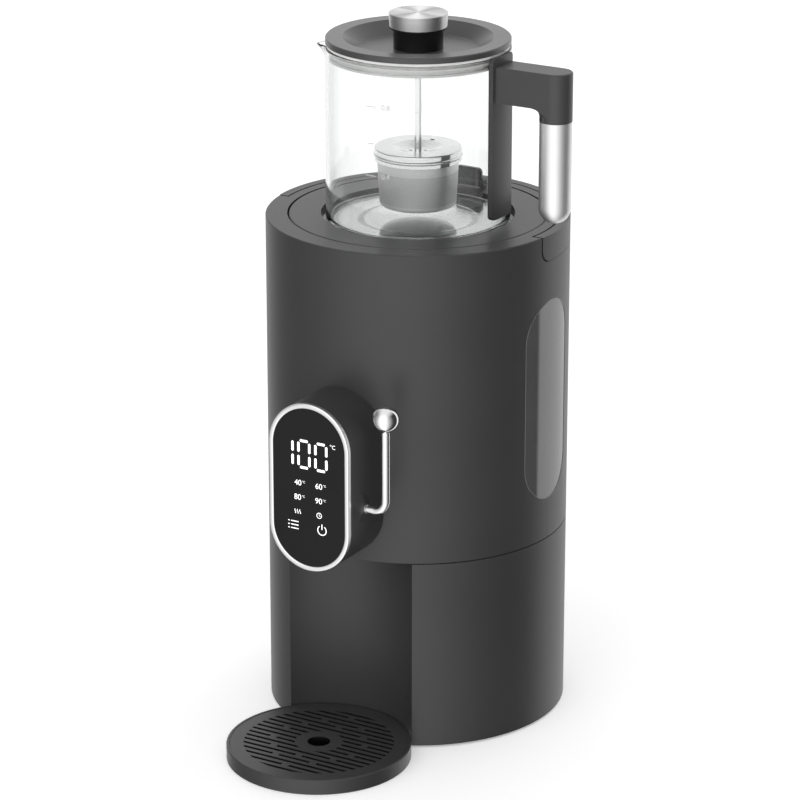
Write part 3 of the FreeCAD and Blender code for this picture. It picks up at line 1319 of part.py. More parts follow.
def hot_plate():
    centre_top = PLATE_TOP - D.plate_step
    groove_top = centre_top - D.groove_depth
    half = D.groove_width / 2
    slope = D.plate_step
    node("hot_plate", turned("HotPlate", [
        (ZERO, PLATE_LOW), (PLATE_RADIUS, PLATE_LOW), (PLATE_RADIUS, PLATE_TOP),
        (PLATE_STEP_RADIUS + slope, PLATE_TOP), (PLATE_STEP_RADIUS, centre_top),
        (D.groove_radius + half, centre_top), (D.groove_radius + half - slope, groove_top),
        (D.groove_radius - half + slope, groove_top), (D.groove_radius - half, centre_top),
        (ZERO, centre_top)]))


def plate_seal():
    node("plate_seal", ring(WELL_RADIUS, PLATE_RADIUS, PLATE_LOW, PLATE_LOW + D.seal_height))


def plate_heater():
    node("plate_heater", ring(D.heater_radius, D.heater_bore, PLATE_LOW - D.heater_height, PLATE_LOW))


def cover_pan():
    floor = RIM_TOP - D.pan_depth
    top = RIM_TOP - D.wall
    inner = PAN_RADIUS - D.cover_wall
    node("cover_pan", turned("CoverPan", [
        (ZERO, floor), (PAN_RADIUS, floor), (PAN_RADIUS, top), (inner, top),
        (inner, floor + D.cover_wall), (ZERO, floor + D.cover_wall)]))


def tab_pin():
    reach = D.tab_half_width + D.lug_gap + D.lug_width
    node("tab_pin", cylinder_along_x(D.tab_pin_radius, -reach, reach, TAB_Y, TAB_AXIS))


def latch_tab():
    """A small pull tab with rounded upper corners on a hinge barrel."""
    half = D.tab_half_width
    corner = D.tab_corner
    top = RIM_TOP + D.tab_height
    body = new_body("LatchTab")
    sketch = sketch_on(body, "XZ_Plane", -(TAB_Y + D.tab_thickness / 2))
    right = arc_between(sketch, (half - corner, top - corner), corner, 0, 90)
    left = arc_between(sketch, (corner - half, top - corner), corner, 90, 180)
    for element, x_end, y_end in ((right, 2, 1), (left, 1, 2)):
        side = half - corner if element == right else corner - half
        constrain(sketch, side, "DistanceX", -1, 1, element, x_end)
        constrain(sketch, top - corner, "DistanceY", -1, 1, element, y_end)
    low = TAB_AXIS
    spots = [(-half, top - corner), (-half, low), (half, low), (half, top - corner)]
    lines = []
    for start, end in zip(spots, spots[1:]):
        lines.append(sketch.addGeometry(Part.LineSegment(flat(start), flat(end))))
    top_line = sketch.addGeometry(Part.LineSegment(flat((half - corner, top)), flat((corner - half, top))))
    joints = ((left, 2, lines[0], 1), (lines[0], 2, lines[1], 1), (lines[1], 2, lines[2], 1),
              (lines[2], 2, right, 1), (right, 2, top_line, 1), (top_line, 2, left, 1))
    for joint in joints:
        sketch.addConstraint(Sketcher.Constraint("Coincident", *joint))
    pin_point(sketch, lines[1], 1, (-half, low))
    pin_point(sketch, lines[1], 2, (half, low))
    pad(body, sketch, D.tab_thickness)
    barrel = cylinder_along_x(D.lug_radius, -half, half, TAB_Y, TAB_AXIS)
    bore = cylinder_along_x(D.tab_pin_radius + D.run_gap, -half - CUT_MARGIN, half + CUT_MARGIN,
                            TAB_Y, TAB_AXIS)
    node("latch_tab", cut(fuse(body, barrel), bore))


# Tea pot

def pot_glass():
    inner = D.pot_radius - D.glass_wall
    bevel = D.glass_rounding / 3
    wall = turned("PotWall", [
        (ZERO, POT_LOW), (D.pot_radius - bevel * 2, POT_LOW),
        (D.pot_radius - bevel / 2, POT_LOW + bevel / 2),
        (D.pot_radius, POT_LOW + bevel * 2), (D.pot_radius, POT_RIM), (inner, POT_RIM),
        (inner, POT_LOW + D.glass_floor), (ZERO, POT_LOW + D.glass_floor)])
    reach = D.pot_radius + D.spout_reach - D.spout_radius
    spot = (-reach * cosine(D.spout_angle), -reach * sine(D.spout_angle))
    low = POT_RIM - D.spout_depth
    foot = D.spout_radius - D.spout_reach
    lip = cone(foot, D.spout_radius, low, POT_RIM, *spot)
    thin = D.glass_wall
    channel = cone(foot - thin, D.spout_radius - thin, low, POT_RIM, *spot)
    bore = cylinder(inner, POT_LOW + D.glass_floor, POT_RIM + CUT_MARGIN)
    mouth = cylinder(D.spout_radius - thin, POT_RIM, POT_RIM + CUT_MARGIN, *spot)
    node("pot_glass", cut(fuse(wall, lip), channel, bore, mouth))


def handle_strap():
    low = POT_LOW + D.strap_low
    top = POT_RIM + D.strap_top_gap
    outer = D.pot_radius + D.strap_thickness
    band = ring(outer, D.pot_radius + D.skin_gap, low, top)
    half = D.strap_half_width
    side = new_body("StrapSide")
    sketch = sketch_on(side, "YZ_Plane")
    corner = D.strap_corner
    outline(sketch, [(-half, low + corner), (corner - half, low), (half - corner, low), (half, low + corner),
                     (half, top - corner), (half - corner, top),
                     (corner - half, top), (-half, top - corner)])
    pad(side, sketch, outer + CUT_MARGIN)
    holes = []
    for z in handle_screw_heights():
        holes.append(cylinder_along_x(D.screw_radius, D.pot_radius, outer + CUT_MARGIN, ZERO, z))
        holes.append(cylinder_along_x(D.screw_head_radius, D.pot_radius - CUT_MARGIN,
                                      screw_head_face(), ZERO, z))
    node("handle_strap", cut(common(band, side), *holes))


def handle_screw_heights():
    return (POT_LOW + D.arm_low + D.handle_screw_inset, POT_LOW + D.arm_top - D.handle_screw_inset)


def screw_head_face():
    """The seat of the screw heads, sunk into the strap from the glass side."""
    return D.pot_radius + D.strap_thickness / 2 + D.skin_gap


def handle_arm():
    """A flat-sided arm that ends in a round sleeve, with a hollow bend where they meet."""
    low = POT_LOW + D.arm_low
    top = POT_LOW + D.arm_top
    foot = POT_LOW + D.sleeve_low
    near = D.pot_radius
    edge = D.arm_edge
    margin = as_size(CUT_MARGIN)
    half = D.sleeve_radius
    stretch = box((near, GRIP_X), (-half, half), (foot, low + edge))
    solid = fuse(cylinder(half, foot, top - edge, GRIP_X),
                 cone(half, half - edge, top - edge, top, GRIP_X),
                 arm_plan(near, low, top), common(sleeve_flare(low), stretch))
    tools = [cylinder(D.pot_radius + D.strap_thickness, foot - margin, top + margin)]
    for z in handle_screw_heights():
        far = screw_head_face() + D.handle_screw_length
        tools.append(cylinder_along_x(D.screw_radius, near, far, ZERO, z))
    node("handle_arm", cut(solid, *tools))


def sleeve_flare(low):
    """The hollow bend between the arm's underside and the sleeve, turned about the sleeve's axis."""
    bend = D.sleeve_bend
    inner = D.sleeve_radius / 2
    outer = D.sleeve_radius + bend
    body = new_body("SleeveFlare")
    sketch = sketch_on(body, "XZ_Plane")
    spots = [(outer, low), (outer, low + D.arm_edge), (inner, low + D.arm_edge), (inner, low - bend),
             (D.sleeve_radius, low - bend)]
    lines = []
    for start, end in zip(spots, spots[1:]):
        lines.append(sketch.addGeometry(Part.LineSegment(flat(start), flat(end))))
    arc = arc_between(sketch, (outer, low - bend), bend, 90, 180)
    for before, after in zip(lines, lines[1:]):
        sketch.addConstraint(Sketcher.Constraint("Coincident", before, 2, after, 1))
    sketch.addConstraint(Sketcher.Constraint("Coincident", lines[-1], 2, arc, 2))
    sketch.addConstraint(Sketcher.Constraint("Coincident", arc, 1, lines[0], 1))
    for line, spot in zip(lines[1:], spots[1:]):
        pin_point(sketch, line, 1, spot)
    constrain(sketch, outer, "DistanceX", -1, 1, arc, 1)
    constrain(sketch, low - bend, "DistanceY", -1, 1, arc, 2)
    revolve(body, sketch)
    return place(body, GRIP_X)


def arm_plan(near, low, top):
    """The straight stretch of the arm, with bevelled top edges."""
    half = D.sleeve_radius
    edge = D.arm_edge
    body = new_body("ArmPlan")
    sketch = sketch_on(body, "YZ_Plane", near)
    outline(sketch, [(-half, low), (half, low), (half, top - edge), (half - edge, top),
                     (edge - half, top), (-half, top - edge)])
    pad(body, sketch, GRIP_X - near)
    return body


def handle_screws():
    screws = []
    seat = screw_head_face()
    for z in handle_screw_heights():
        head = cylinder_along_x(D.screw_head_radius, D.pot_radius + D.skin_gap * 2, seat, ZERO, z)
        shank = cylinder_along_x(D.screw_radius, seat - D.skin_gap, seat + D.handle_screw_length, ZERO, z)
        screws.append(cut(fuse(head, shank), cylinder(D.pot_radius + D.skin_gap, POT_LOW, POT_RIM)))
    node("handle_screws", group(*screws))


def handle_grip():
    top = POT_LOW + D.sleeve_low - D.grip_gap
    centre = POT_LOW + D.grip_low + D.grip_radius
    node("handle_grip", fuse(cylinder(D.grip_radius, centre, top, GRIP_X),
                             sphere(D.grip_radius, GRIP_X, ZERO, centre)))


# Lid and knob

def pot_lid():
    collar_inner = LID_COLLAR_RADIUS - D.lid_collar_wall
    collar_low = LID_LOW - D.lid_collar_depth
    dish_low = DISH_TOP - D.lid_floor
    edge = D.edge_break
    node("pot_lid", turned("PotLid", [
        (D.rod_radius, DISH_TOP), (LID_DISH_RADIUS, DISH_TOP), (LID_FLAT_RADIUS, LID_TOP),
        (LID_RADIUS - edge, LID_TOP), (LID_RADIUS, LID_TOP - edge), (LID_RADIUS, LID_LOW),
        (LID_COLLAR_RADIUS, LID_LOW), (LID_COLLAR_RADIUS, collar_low), (collar_inner, collar_low),
        (collar_inner, LID_LOW), (LID_FLAT_RADIUS, LID_LOW), (LID_DISH_RADIUS + D.lid_floor, dish_low),
        (D.rod_radius, dish_low)]))


def lid_seal():
    """A silicone sleeve on the lid's collar: a flange on the glass rim and two fins inside it."""
    inner = LID_COLLAR_RADIUS
    skin = inner + D.seal_skin
    fin = D.pot_radius - D.glass_wall - D.seal_fin_gap
    low = LID_LOW - D.lid_collar_depth
    corners = [(inner, LID_LOW), (LID_RADIUS - D.edge_break, LID_LOW),
               (LID_RADIUS - D.edge_break, POT_RIM + D.lift_gap), (skin, POT_RIM + D.lift_gap)]
    for drop in (D.upper_fin_drop, D.lower_fin_drop):
        corners += [(skin, LID_LOW - drop), (fin, LID_LOW - drop),
                    (fin, LID_LOW - drop - D.fin_height), (skin, LID_LOW - drop - D.fin_height)]
    corners += [(skin, low), (inner, low)]
    node("lid_seal", turned("LidSeal", corners))


def knob():
    rod_bore = cylinder(D.rod_radius, DISH_TOP - CUT_MARGIN, DISH_TOP + D.rod_thread)
    node("knob_neck", cut(cylinder(D.neck_radius, DISH_TOP, NECK_TOP), rod_bore))
    top = NECK_TOP + D.cap_height
    node("knob_cap", turned("KnobCap", [
        (ZERO, NECK_TOP), (D.cap_foot_radius, NECK_TOP), (D.cap_radius, top - D.cap_edge),
        (D.cap_radius - D.cap_edge, top), (ZERO, top)]))


# Infuser

def half_rod(low, high, front):
    """Half of the rod's section, on the front or the rear side of a lapped joint."""
    limits = (-D.rod_radius * 2, -D.catch_gap / 2) if front else (D.catch_gap / 2, D.rod_radius * 2)
    slab = box((-D.rod_radius * 2, D.rod_radius * 2), limits, (low, high))
    return common(cylinder(D.rod_radius, low, high), slab)


def rods():
    """Two rods whose lapped ends hook into each other: a peg of the upper one holds the lower one."""
    lap_low = ROD_JOINT - D.catch_height / 2
    lap_top = ROD_JOINT + D.catch_height / 2
    upper = cylinder(D.rod_radius, lap_top, DISH_TOP + D.rod_thread)
    peg = cylinder_along_y(D.catch_peg_radius, -D.rod_radius / 2, D.rod_radius * 3 / 4, ZERO, ROD_JOINT)
    node("upper_rod", fuse(upper, half_rod(lap_low + D.catch_gap, lap_top, front=True), peg))
    floor = INFUSER_TOP - D.handle_well_depth
    lower = cylinder(D.rod_radius, floor, lap_low)
    hole = cylinder_along_y(D.catch_peg_radius + D.run_gap, ZERO, D.rod_radius * 2, ZERO, ROD_JOINT)
    node("lower_rod", cut(fuse(lower, half_rod(lap_low, lap_top - D.catch_gap, front=False)), hole))


def infuser_cover():
    sheet = D.infuser_sheet
    top = INFUSER_TOP
    low = top - D.infuser_cover_depth
    bead = top - D.infuser_bead_drop
    well_floor = top - D.handle_well_depth
    outer = D.infuser_cover_radius
    edge = D.edge_break
    node("infuser_cover", turned("InfuserCover", [
        (ZERO, well_floor), (D.handle_well_foot, well_floor), (D.handle_well_radius, top),
        (outer - edge, top), (outer, top - edge), (outer, bead + edge), (D.infuser_bead_radius, bead),
        (outer, bead - edge), (outer, low), (outer - sheet, low), (outer - sheet, top - sheet),
        (D.handle_well_radius + sheet / 2, top - sheet),
        (D.handle_well_foot + sheet / 2, well_floor - sheet), (ZERO, well_floor - sheet)]))


def infuser_basket():
    sheet = D.infuser_sheet
    top = INFUSER_TOP - D.infuser_cover_depth + D.basket_entry
    low = BASKET_LOW
    bend = low + D.basket_taper_height
    outer = D.basket_radius
    foot = D.basket_foot_radius
    taper_outer = foot + D.basket_taper_height / 2
    bead = D.infuser_cover_radius - sheet - D.run_gap
    bead_low = top - D.basket_bead_height
    node("infuser_basket", turned("InfuserBasket", [
        (ZERO, low), (foot, low), (taper_outer, bend), (outer, bead_low), (bead, bead_low), (bead, top),
        (outer - sheet, top), (taper_outer - sheet, bend), (foot - sheet / 2, low + sheet),
        (ZERO, low + sheet)]))


def build_all():
    for make in (lower_housing, base_plate, rubber_feet, housing_screws, mid_deck,
                 upper_housing, bail_handle, bail_pins, water_tank, tank_seal, tank_window, window_gasket,
                 boiler_shell, boiler_element, temperature_sensor,
                 pump_housing, pump_motor, pump_rotor, hoses,
                 main_circuit_board, board_standoffs, board_blocks, power_inlet, inlet_contacts,
                 pod_housing, pod_ring, display_glass, display_board,
                 spout_nozzle, valve_body, valve_plunger, lever_bush, lever_spindle, lever_rod, lever_ball,
                 drip_tray, drip_grate,
                 cover_ring, hot_plate, plate_seal, plate_heater, cover_pan, tab_pin, latch_tab,
                 pot_glass, handle_strap, handle_arm, handle_screws, handle_grip,
                 pot_lid, lid_seal, knob, rods, infuser_cover, infuser_basket):
        make()
    DOC.recompute()


def check_document():
    """Stops if any object failed, or if a sub-part has no sound shape."""
    for item in DOC.Objects:
        if "Invalid" in item.State or "Error" in item.State:
            raise RuntimeError(f"{item.Label} failed to build: {item.State}")
    for item in NODES:
        if item.Shape.isNull() or not item.Shape.isValid() or not item.Shape.Solids:
            raise RuntimeError(f"{item.Label} has no sound solid")
        if len(item.Label) >= NODE_NAME_LIMIT:
            raise RuntimeError(f"{item.Label} is too long a name")


def write_files():
    os.makedirs("parts", exist_ok=True)
    for item in NODES:
        item.Shape.exportStep(os.path.join("parts", item.Label + ".step"))
        print(f"{item.Label}: {len(item.Shape.Solids)} solid(s), {item.Shape.Volume / 1000:.2f} cm3")


build_all()
check_document()
write_files()
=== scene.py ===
import math

import bmesh
import bpy
from mathutils import Matrix, Vector


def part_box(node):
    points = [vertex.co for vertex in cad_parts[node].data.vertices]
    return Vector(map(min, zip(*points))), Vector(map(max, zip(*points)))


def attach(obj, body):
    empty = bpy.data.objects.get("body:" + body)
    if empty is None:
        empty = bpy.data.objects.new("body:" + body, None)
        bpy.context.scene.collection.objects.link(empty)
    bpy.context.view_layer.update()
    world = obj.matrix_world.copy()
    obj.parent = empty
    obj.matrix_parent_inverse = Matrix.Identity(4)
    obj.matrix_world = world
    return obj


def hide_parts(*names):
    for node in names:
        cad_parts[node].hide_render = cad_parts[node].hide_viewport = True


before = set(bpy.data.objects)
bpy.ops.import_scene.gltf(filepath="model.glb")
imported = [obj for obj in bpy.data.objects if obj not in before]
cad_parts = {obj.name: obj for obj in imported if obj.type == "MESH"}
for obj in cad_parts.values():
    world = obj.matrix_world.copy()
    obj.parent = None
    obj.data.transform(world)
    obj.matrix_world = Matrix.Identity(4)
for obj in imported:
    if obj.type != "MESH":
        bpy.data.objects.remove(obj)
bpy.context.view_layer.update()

MM = 0.001

# The photograph's camera
CAMERA_AZIMUTH = 30.247
CAMERA_ELEVATION = 19.37
CAMERA_DISTANCE = 2.3041
CAMERA_LENS = 163.56
CAMERA_SENSOR = 36.0
AIM_RIGHT = -0.011227
AIM_HEIGHT = 0.197894

# Surfaces, in linear colour
BLACK = (0.041, 0.041, 0.0415)
GLOSSY_BLACK = (0.008, 0.008, 0.0085)
CHROME = (0.78, 0.78, 0.79)
SILICONE = (0.93, 0.93, 0.92)
GREY_PRINT = (0.72, 0.72, 0.72)
# Painted shade for the drip tray's well
SHADOW = (0.002, 0.002, 0.002, 1)
HOLE_GREY = (0.3, 0.3, 0.3, 1)
# Painted shade for the hot plate's groove and step
GROOVE_SHADE = (0.12, 0.12, 0.12, 1)
# Painted shade for the pot glass where it is seen edge-on
GLASS_EDGE_SHADE = (0.62, 0.64, 0.635, 1)

# Most of a noise texture's values lie between these
NOISE_LOW = 0.3
NOISE_HIGH = 0.7

# Grain of moulded plastic and rings of turned metal
GRAIN_SCALE = 1800.0
RING_PITCH = 0.0004
RING_DEPTH = 0.000004


# Materials

class Paint:
    """A node material: one principled shader with room for procedural detail."""

    def __init__(self, name):
        self.material = bpy.data.materials.new(name)
        self.material.use_nodes = True
        self.tree = self.material.node_tree
        self.shader = self.tree.nodes["Principled BSDF"]
        self.place = self.add("ShaderNodeTexCoord").outputs["Object"]

    def add(self, kind, **settings):
        item = self.tree.nodes.new(kind)
        for name, value in settings.items():
            setattr(item, name, value)
        return item

    def link(self, start, end):
        self.tree.links.new(start, end)

    def set(self, **values):
        for name, value in values.items():
            self.shader.inputs[name.replace("_", " ")].default_value = value
        return self

    def noise(self, scale, detail=3.0, stretch=None):
        """Noise over the piece; stretch squeezes it along an axis, as brushing does."""
        texture = self.add("ShaderNodeTexNoise")
        texture.inputs["Scale"].default_value = scale
        texture.inputs["Detail"].default_value = detail
        start = self.place
        if stretch:
            mapping = self.add("ShaderNodeMapping")
            mapping.inputs["Scale"].default_value = stretch
            self.link(start, mapping.inputs["Vector"])
            start = mapping.outputs["Vector"]
        self.link(start, texture.inputs["Vector"])
        return texture.outputs["Fac"]

    def spread(self, source, low, high, start=NOISE_LOW, end=NOISE_HIGH):
        """Maps a texture's middle range onto the numbers that a shader input needs."""
        ranger = self.add("ShaderNodeMapRange")
        for name, value in (("From Min", start), ("From Max", end), ("To Min", low), ("To Max", high)):
            ranger.inputs[name].default_value = value
        self.link(source, ranger.inputs["Value"])
        return ranger.outputs["Result"]

    def tone(self, source, dark, light):
        """Mixes two colours by a texture."""
        ramp = self.add("ShaderNodeValToRGB")
        stops = ramp.color_ramp.elements
        for stop, colour, position in zip(stops, (dark, light), (NOISE_LOW, NOISE_HIGH)):
            stop.color = (*colour, 1)
            stop.position = position
        self.link(source, ramp.inputs["Fac"])
        return ramp.outputs["Color"]

    def blend(self, factor, first, second):
        """Mixes a texture's colour with a plain one."""
        mix = self.add("ShaderNodeMix", data_type="RGBA")
        self.link(factor, mix.inputs["Factor"])
        self.link(first, mix.inputs["A"])
        mix.inputs["B"].default_value = second
        return mix.outputs["Result"]

    def math(self, operation, first, second=None):
        """One sum on sockets or numbers."""
        item = self.add("ShaderNodeMath", operation=operation)
        for socket, value in zip(item.inputs, (first, second)):
            if isinstance(value, (int, float)):
                socket.default_value = value
            elif value is not None:
                self.link(value, socket)
        return item.outputs["Value"]

    def uneven(self, source, colour, darkest, lightest):
        """Gives the surface a colour that varies a little by a texture."""
        self.link(self.tone(source, shade(colour, darkest), shade(colour, lightest)),
                  self.shader.inputs["Base Color"])

    def gloss(self, source, low, high):
        """Lets the roughness vary between two values by a texture."""
        self.link(self.spread(source, low, high), self.shader.inputs["Roughness"])

    def axes(self):
        """The place on the piece along each axis."""
        split = self.add("ShaderNodeSeparateXYZ")
        self.link(self.place, split.inputs["Vector"])
        return split.outputs

    def distance_from(self, axis):
        """How far a spot is from an upright axis."""
        offset = self.add("ShaderNodeVectorMath", operation="SUBTRACT")
        offset.inputs[1].default_value = axis
        self.link(self.place, offset.inputs[0])
        flat = self.add("ShaderNodeVectorMath", operation="MULTIPLY")
        flat.inputs[1].default_value = (1, 1, 0)
        self.link(offset.outputs["Vector"], flat.inputs[0])
        length = self.add("ShaderNodeVectorMath", operation="LENGTH")
        self.link(flat.outputs["Vector"], length.inputs[0])
        return length.outputs["Value"]

    def band(self, low, high, edge):
        """1 between two heights of the piece, and 0 outside them."""
        height = self.axes()["Z"]
        rising = self.spread(height, 0.0, 1.0, low - edge, low + edge)
        falling = self.spread(height, 1.0, 0.0, high - edge, high + edge)
        return self.math("MULTIPLY", rising, falling)

    def sieve(self, low, high, radius, pitch):
        """Rows of small round holes on an upright wall of this radius, between two heights."""
        depth = 0.85
        rim, middle = 0.05, 0.45
        edge = 0.1 * MM
        axes = self.axes()
        angle = self.math("ARCTAN2", axes["Y"], axes["X"])
        count = round(2 * math.pi * radius / pitch)
        across = self.math("SINE", self.math("MULTIPLY", angle, count))
        up = self.math("SINE", self.math("MULTIPLY", axes["Z"], 2 * math.pi / pitch))
        holes = self.spread(self.math("MULTIPLY", across, up), 0.0, depth, rim, middle)
        return self.math("MULTIPLY", holes, self.band(low, high, edge))

    def bump(self, source, height, strength=0.5):
        """Raises the surface by a texture."""
        item = self.add("ShaderNodeBump")
        item.inputs["Strength"].default_value = strength
        item.inputs["Distance"].default_value = height
        self.link(source, item.inputs["Height"])
        self.link(item.outputs["Normal"], self.shader.inputs["Normal"])


def shade(colour, factor):
    """The same colour, darker or lighter."""
    return tuple(min(1.0, value * factor) for value in colour)


def moulded(name, colour, roughness, grain=0.00002, spread=0.04, well=None):
    """Moulded plastic: a fine eroded grain, with slightly uneven gloss and colour.
    well is the axis, radius and height of a round well, painted near black below that height as painted
    shade."""
    paint = Paint(name)
    grain_noise = paint.noise(GRAIN_SCALE, detail=2.0)
    cloud = paint.noise(14.0, detail=4.0)
    tone = paint.tone(cloud, shade(colour, 0.93), shade(colour, 1.07))
    if well:
        axis, radius, height = well
        inside = paint.spread(paint.distance_from(axis), 1.0, 0.0, radius - 0.1 * MM, radius)
        below = paint.spread(paint.axes()["Z"], 1.0, 0.0, height - 0.3 * MM, height)
        # Painted shade: the well below the grate is painted near black
        tone = paint.blend(paint.math("MULTIPLY", inside, below), tone, SHADOW)
    paint.link(tone, paint.shader.inputs["Base Color"])
    paint.gloss(grain_noise, roughness - spread, roughness + spread)
    paint.bump(grain_noise, grain)
    return paint.material


def metal(name, colour, roughness, spread=0.03, stretch=None, scratch=0.000004, scale=900.0):
    """Bright or brushed metal; stretch gives the brushing its direction."""
    smoothest = 0.02
    paint = Paint(name).set(Metallic=1.0)
    lines = paint.noise(scale, detail=4.0, stretch=stretch)
    cloud = paint.noise(25.0, detail=3.0)
    paint.uneven(cloud, colour, 0.95, 1.04)
    paint.gloss(lines, max(smoothest, roughness - spread), roughness + spread)
    paint.bump(lines, scratch, strength=0.3)
    return paint.material


def turned_metal(name, colour, roughness, anisotropic, pierced=None, painted_shade_rings=()):
    """Metal finished on a lathe: fine rings round the piece's upright axis, across which its gloss spreads.
    pierced gives the heights between which the sheet is full of small holes, then the wall's radius and the
    pitch of the holes. painted_shade_rings gives the radius and width of pressed grooves that get painted
    shade."""
    spread = 0.05
    shade_strength = 0.75
    paint = Paint(name).set(Metallic=1.0, Anisotropic=anisotropic, Anisotropic_Rotation=0.25)
    radius = paint.distance_from((0.0, 0.0, 0.0))
    rings = paint.add("ShaderNodeTexNoise", noise_dimensions="1D")
    rings.inputs["Scale"].default_value = 1.0 / RING_PITCH
    rings.inputs["Detail"].default_value = 2.0
    paint.link(radius, rings.inputs["W"])
    cloud = paint.noise(40.0)
    tone = paint.tone(cloud, shade(colour, 0.95), shade(colour, 1.04))
    if pierced:
        tone = paint.blend(paint.sieve(*pierced), tone, HOLE_GREY)
    # Painted shade: each ring darkens the colour, in the plate's groove and at its step
    for middle, width in painted_shade_rings:
        off = paint.math("ABSOLUTE", paint.math("SUBTRACT", radius, middle))
        groove = paint.spread(off, shade_strength, 0.0, width * 0.4, width * 0.6)
        tone = paint.blend(groove, tone, GROOVE_SHADE)
    paint.link(tone, paint.shader.inputs["Base Color"])
    paint.gloss(rings.outputs["Fac"], roughness - spread, roughness + spread)
    paint.bump(rings.outputs["Fac"], RING_DEPTH, strength=0.25)
    tangent = paint.add("ShaderNodeTangent", direction_type="RADIAL", axis="Z")
    paint.link(tangent.outputs["Tangent"], paint.shader.inputs["Tangent"])
    return paint.material


def clear_glass(name):
    """Clear glass, with grey painted shade where it is seen along its wall."""
    greenest = (0.972, 0.98, 0.978)
    clearest = (0.985, 0.99, 0.988)
    edge_starts, edge_ends = 0.45, 0.95
    paint = Paint(name).set(Transmission_Weight=1.0, IOR=1.47)
    cloud = paint.noise(30.0)
    view = paint.add("ShaderNodeLayerWeight")
    edge = paint.spread(view.outputs["Facing"], 0.0, 1.0, edge_starts, edge_ends)
    # Painted shade: grey blended in by how edge-on the wall is seen
    tone = paint.blend(edge, paint.tone(cloud, greenest, clearest), GLASS_EDGE_SHADE)
    paint.link(tone, paint.shader.inputs["Base Color"])
    paint.gloss(cloud, 0.0, 0.006)
    return paint.material


def smoked_glass(name, colour, roughness, ior=1.5, specular=0.5):
    """Dark polished acrylic, which shows the room more than what is behind it."""
    paint = Paint(name).set(IOR=ior, Specular_IOR_Level=specular)
    cloud = paint.noise(20.0)
    paint.uneven(cloud, colour, 0.9, 1.1)
    paint.gloss(cloud, roughness, roughness + 0.02)
    return paint.material


def soft_rubber(name, colour, roughness=0.55):
    """Rubber or silicone, with a soft and slightly rough skin."""
    paint = Paint(name).set(IOR=1.41)
    cloud = paint.noise(60.0)
    paint.uneven(cloud, colour, 0.94, 1.04)
    paint.gloss(cloud, roughness - 0.05, roughness + 0.05)
    paint.bump(paint.noise(900.0), 0.00002, strength=0.3)
    return paint.material


def glowing(name, colour, strength):
    """Lit print on the display, a little uneven as the diffuser behind it is."""
    paint = Paint(name).set(Emission_Strength=strength, Roughness=0.5)
    cloud = paint.noise(700.0)
    tone = paint.tone(cloud, shade(colour, 0.93), colour)
    paint.link(tone, paint.shader.inputs["Emission Color"])
    paint.link(tone, paint.shader.inputs["Base Color"])
    return paint.material


def printed(name, colour):
    """Screen print on the glass, a little uneven in its ink."""
    paint = Paint(name).set(Roughness=0.6)
    paint.uneven(paint.noise(900.0), colour, 0.92, 1.0)
    return paint.material


def circuit(name):
    """A circuit board, with lighter tracks under its green mask."""
    mask = (0.01, 0.09, 0.035)
    track = (0.02, 0.16, 0.06)
    paint = Paint(name).set(Roughness=0.4)
    tracks = paint.noise(160.0, detail=1.0)
    paint.link(paint.tone(tracks, mask, track), paint.shader.inputs["Base Color"])
    paint.bump(tracks, 0.00005)
    return paint.material


def dress(material, *names):
    """Gives CAD nodes a finish."""
    for name in names:
        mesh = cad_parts[name].data
        mesh.materials.clear()
        mesh.materials.append(material)


# Meshes

# Edges sharper than this stay hard
EDGE_ANGLE = math.radians(40)

# Lengths under this count as none
TINY = 1e-7

# Corners of a round bar's section, and of a drilled hole
BAR_SIDES = 48
HOLE_SIDES = 32


def smooth(mesh):
    """Shades a mesh round, but for its hard edges."""
    for face in mesh.polygons:
        face.use_smooth = True
    mesh.set_sharp_from_angle(angle=EDGE_ANGLE)


def loop_round(bm, spot, side, up, radius, sides):
    """A closed loop round a spot, in the plane of two directions."""
    turns = [2 * math.pi * step / sides for step in range(sides)]
    return [bm.verts.new(spot + (side * math.cos(turn) + up * math.sin(turn)) * radius) for turn in turns]


def join_loops(bm, first, second):
    """A strip of faces between two closed loops."""
    for index in range(len(first)):
        following = (index + 1) % len(first)
        bm.faces.new((first[index], first[following], second[following], second[index]))


def piece(name, bm, material, body, replaced=()):
    """Makes an object of a finished mesh, which rides on a body."""
    mesh = bpy.data.meshes.new(name)
    bmesh.ops.recalc_face_normals(bm, faces=bm.faces)
    bm.to_mesh(mesh)
    bm.free()
    mesh.materials.append(material)
    item = bpy.data.objects.new(name, mesh)
    bpy.context.scene.collection.objects.link(item)
    smooth(mesh)
    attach(item, body)
    if replaced:
        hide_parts(*replaced)
    return item


def soften(corners, radius, steps=5):
    """Rounds each corner of a closed outline of (radius, height) pairs with an arc.
    A corner's third number is the radius of its own arc."""
    nearly_straight = math.radians(178)
    most = 0.49
    points = []
    count = len(corners)
    for index, corner in enumerate(corners):
        here = Vector(corner[:2])
        size = corner[2] if len(corner) > 2 else radius
        before = Vector(corners[index - 1][:2])
        after = Vector(corners[(index + 1) % count][:2])
        to_before = before - here
        to_after = after - here
        on_axis = here.x < TINY
        if size <= 0 or on_axis or to_before.length < TINY or to_after.length < TINY:
            points.append(here)
            continue
        angle = to_before.angle(to_after)
        if angle > nearly_straight:
            points.append(here)
            continue
        reach = min(size / math.tan(angle / 2), to_before.length * most, to_after.length * most)
        start = here + to_before.normalized() * reach
        end = here + to_after.normalized() * reach
        for step in range(steps + 1):
            share = step / steps
            rest = 1 - share
            points.append(start * rest ** 2 + here * 2 * share * rest + end * share ** 2)
    return points


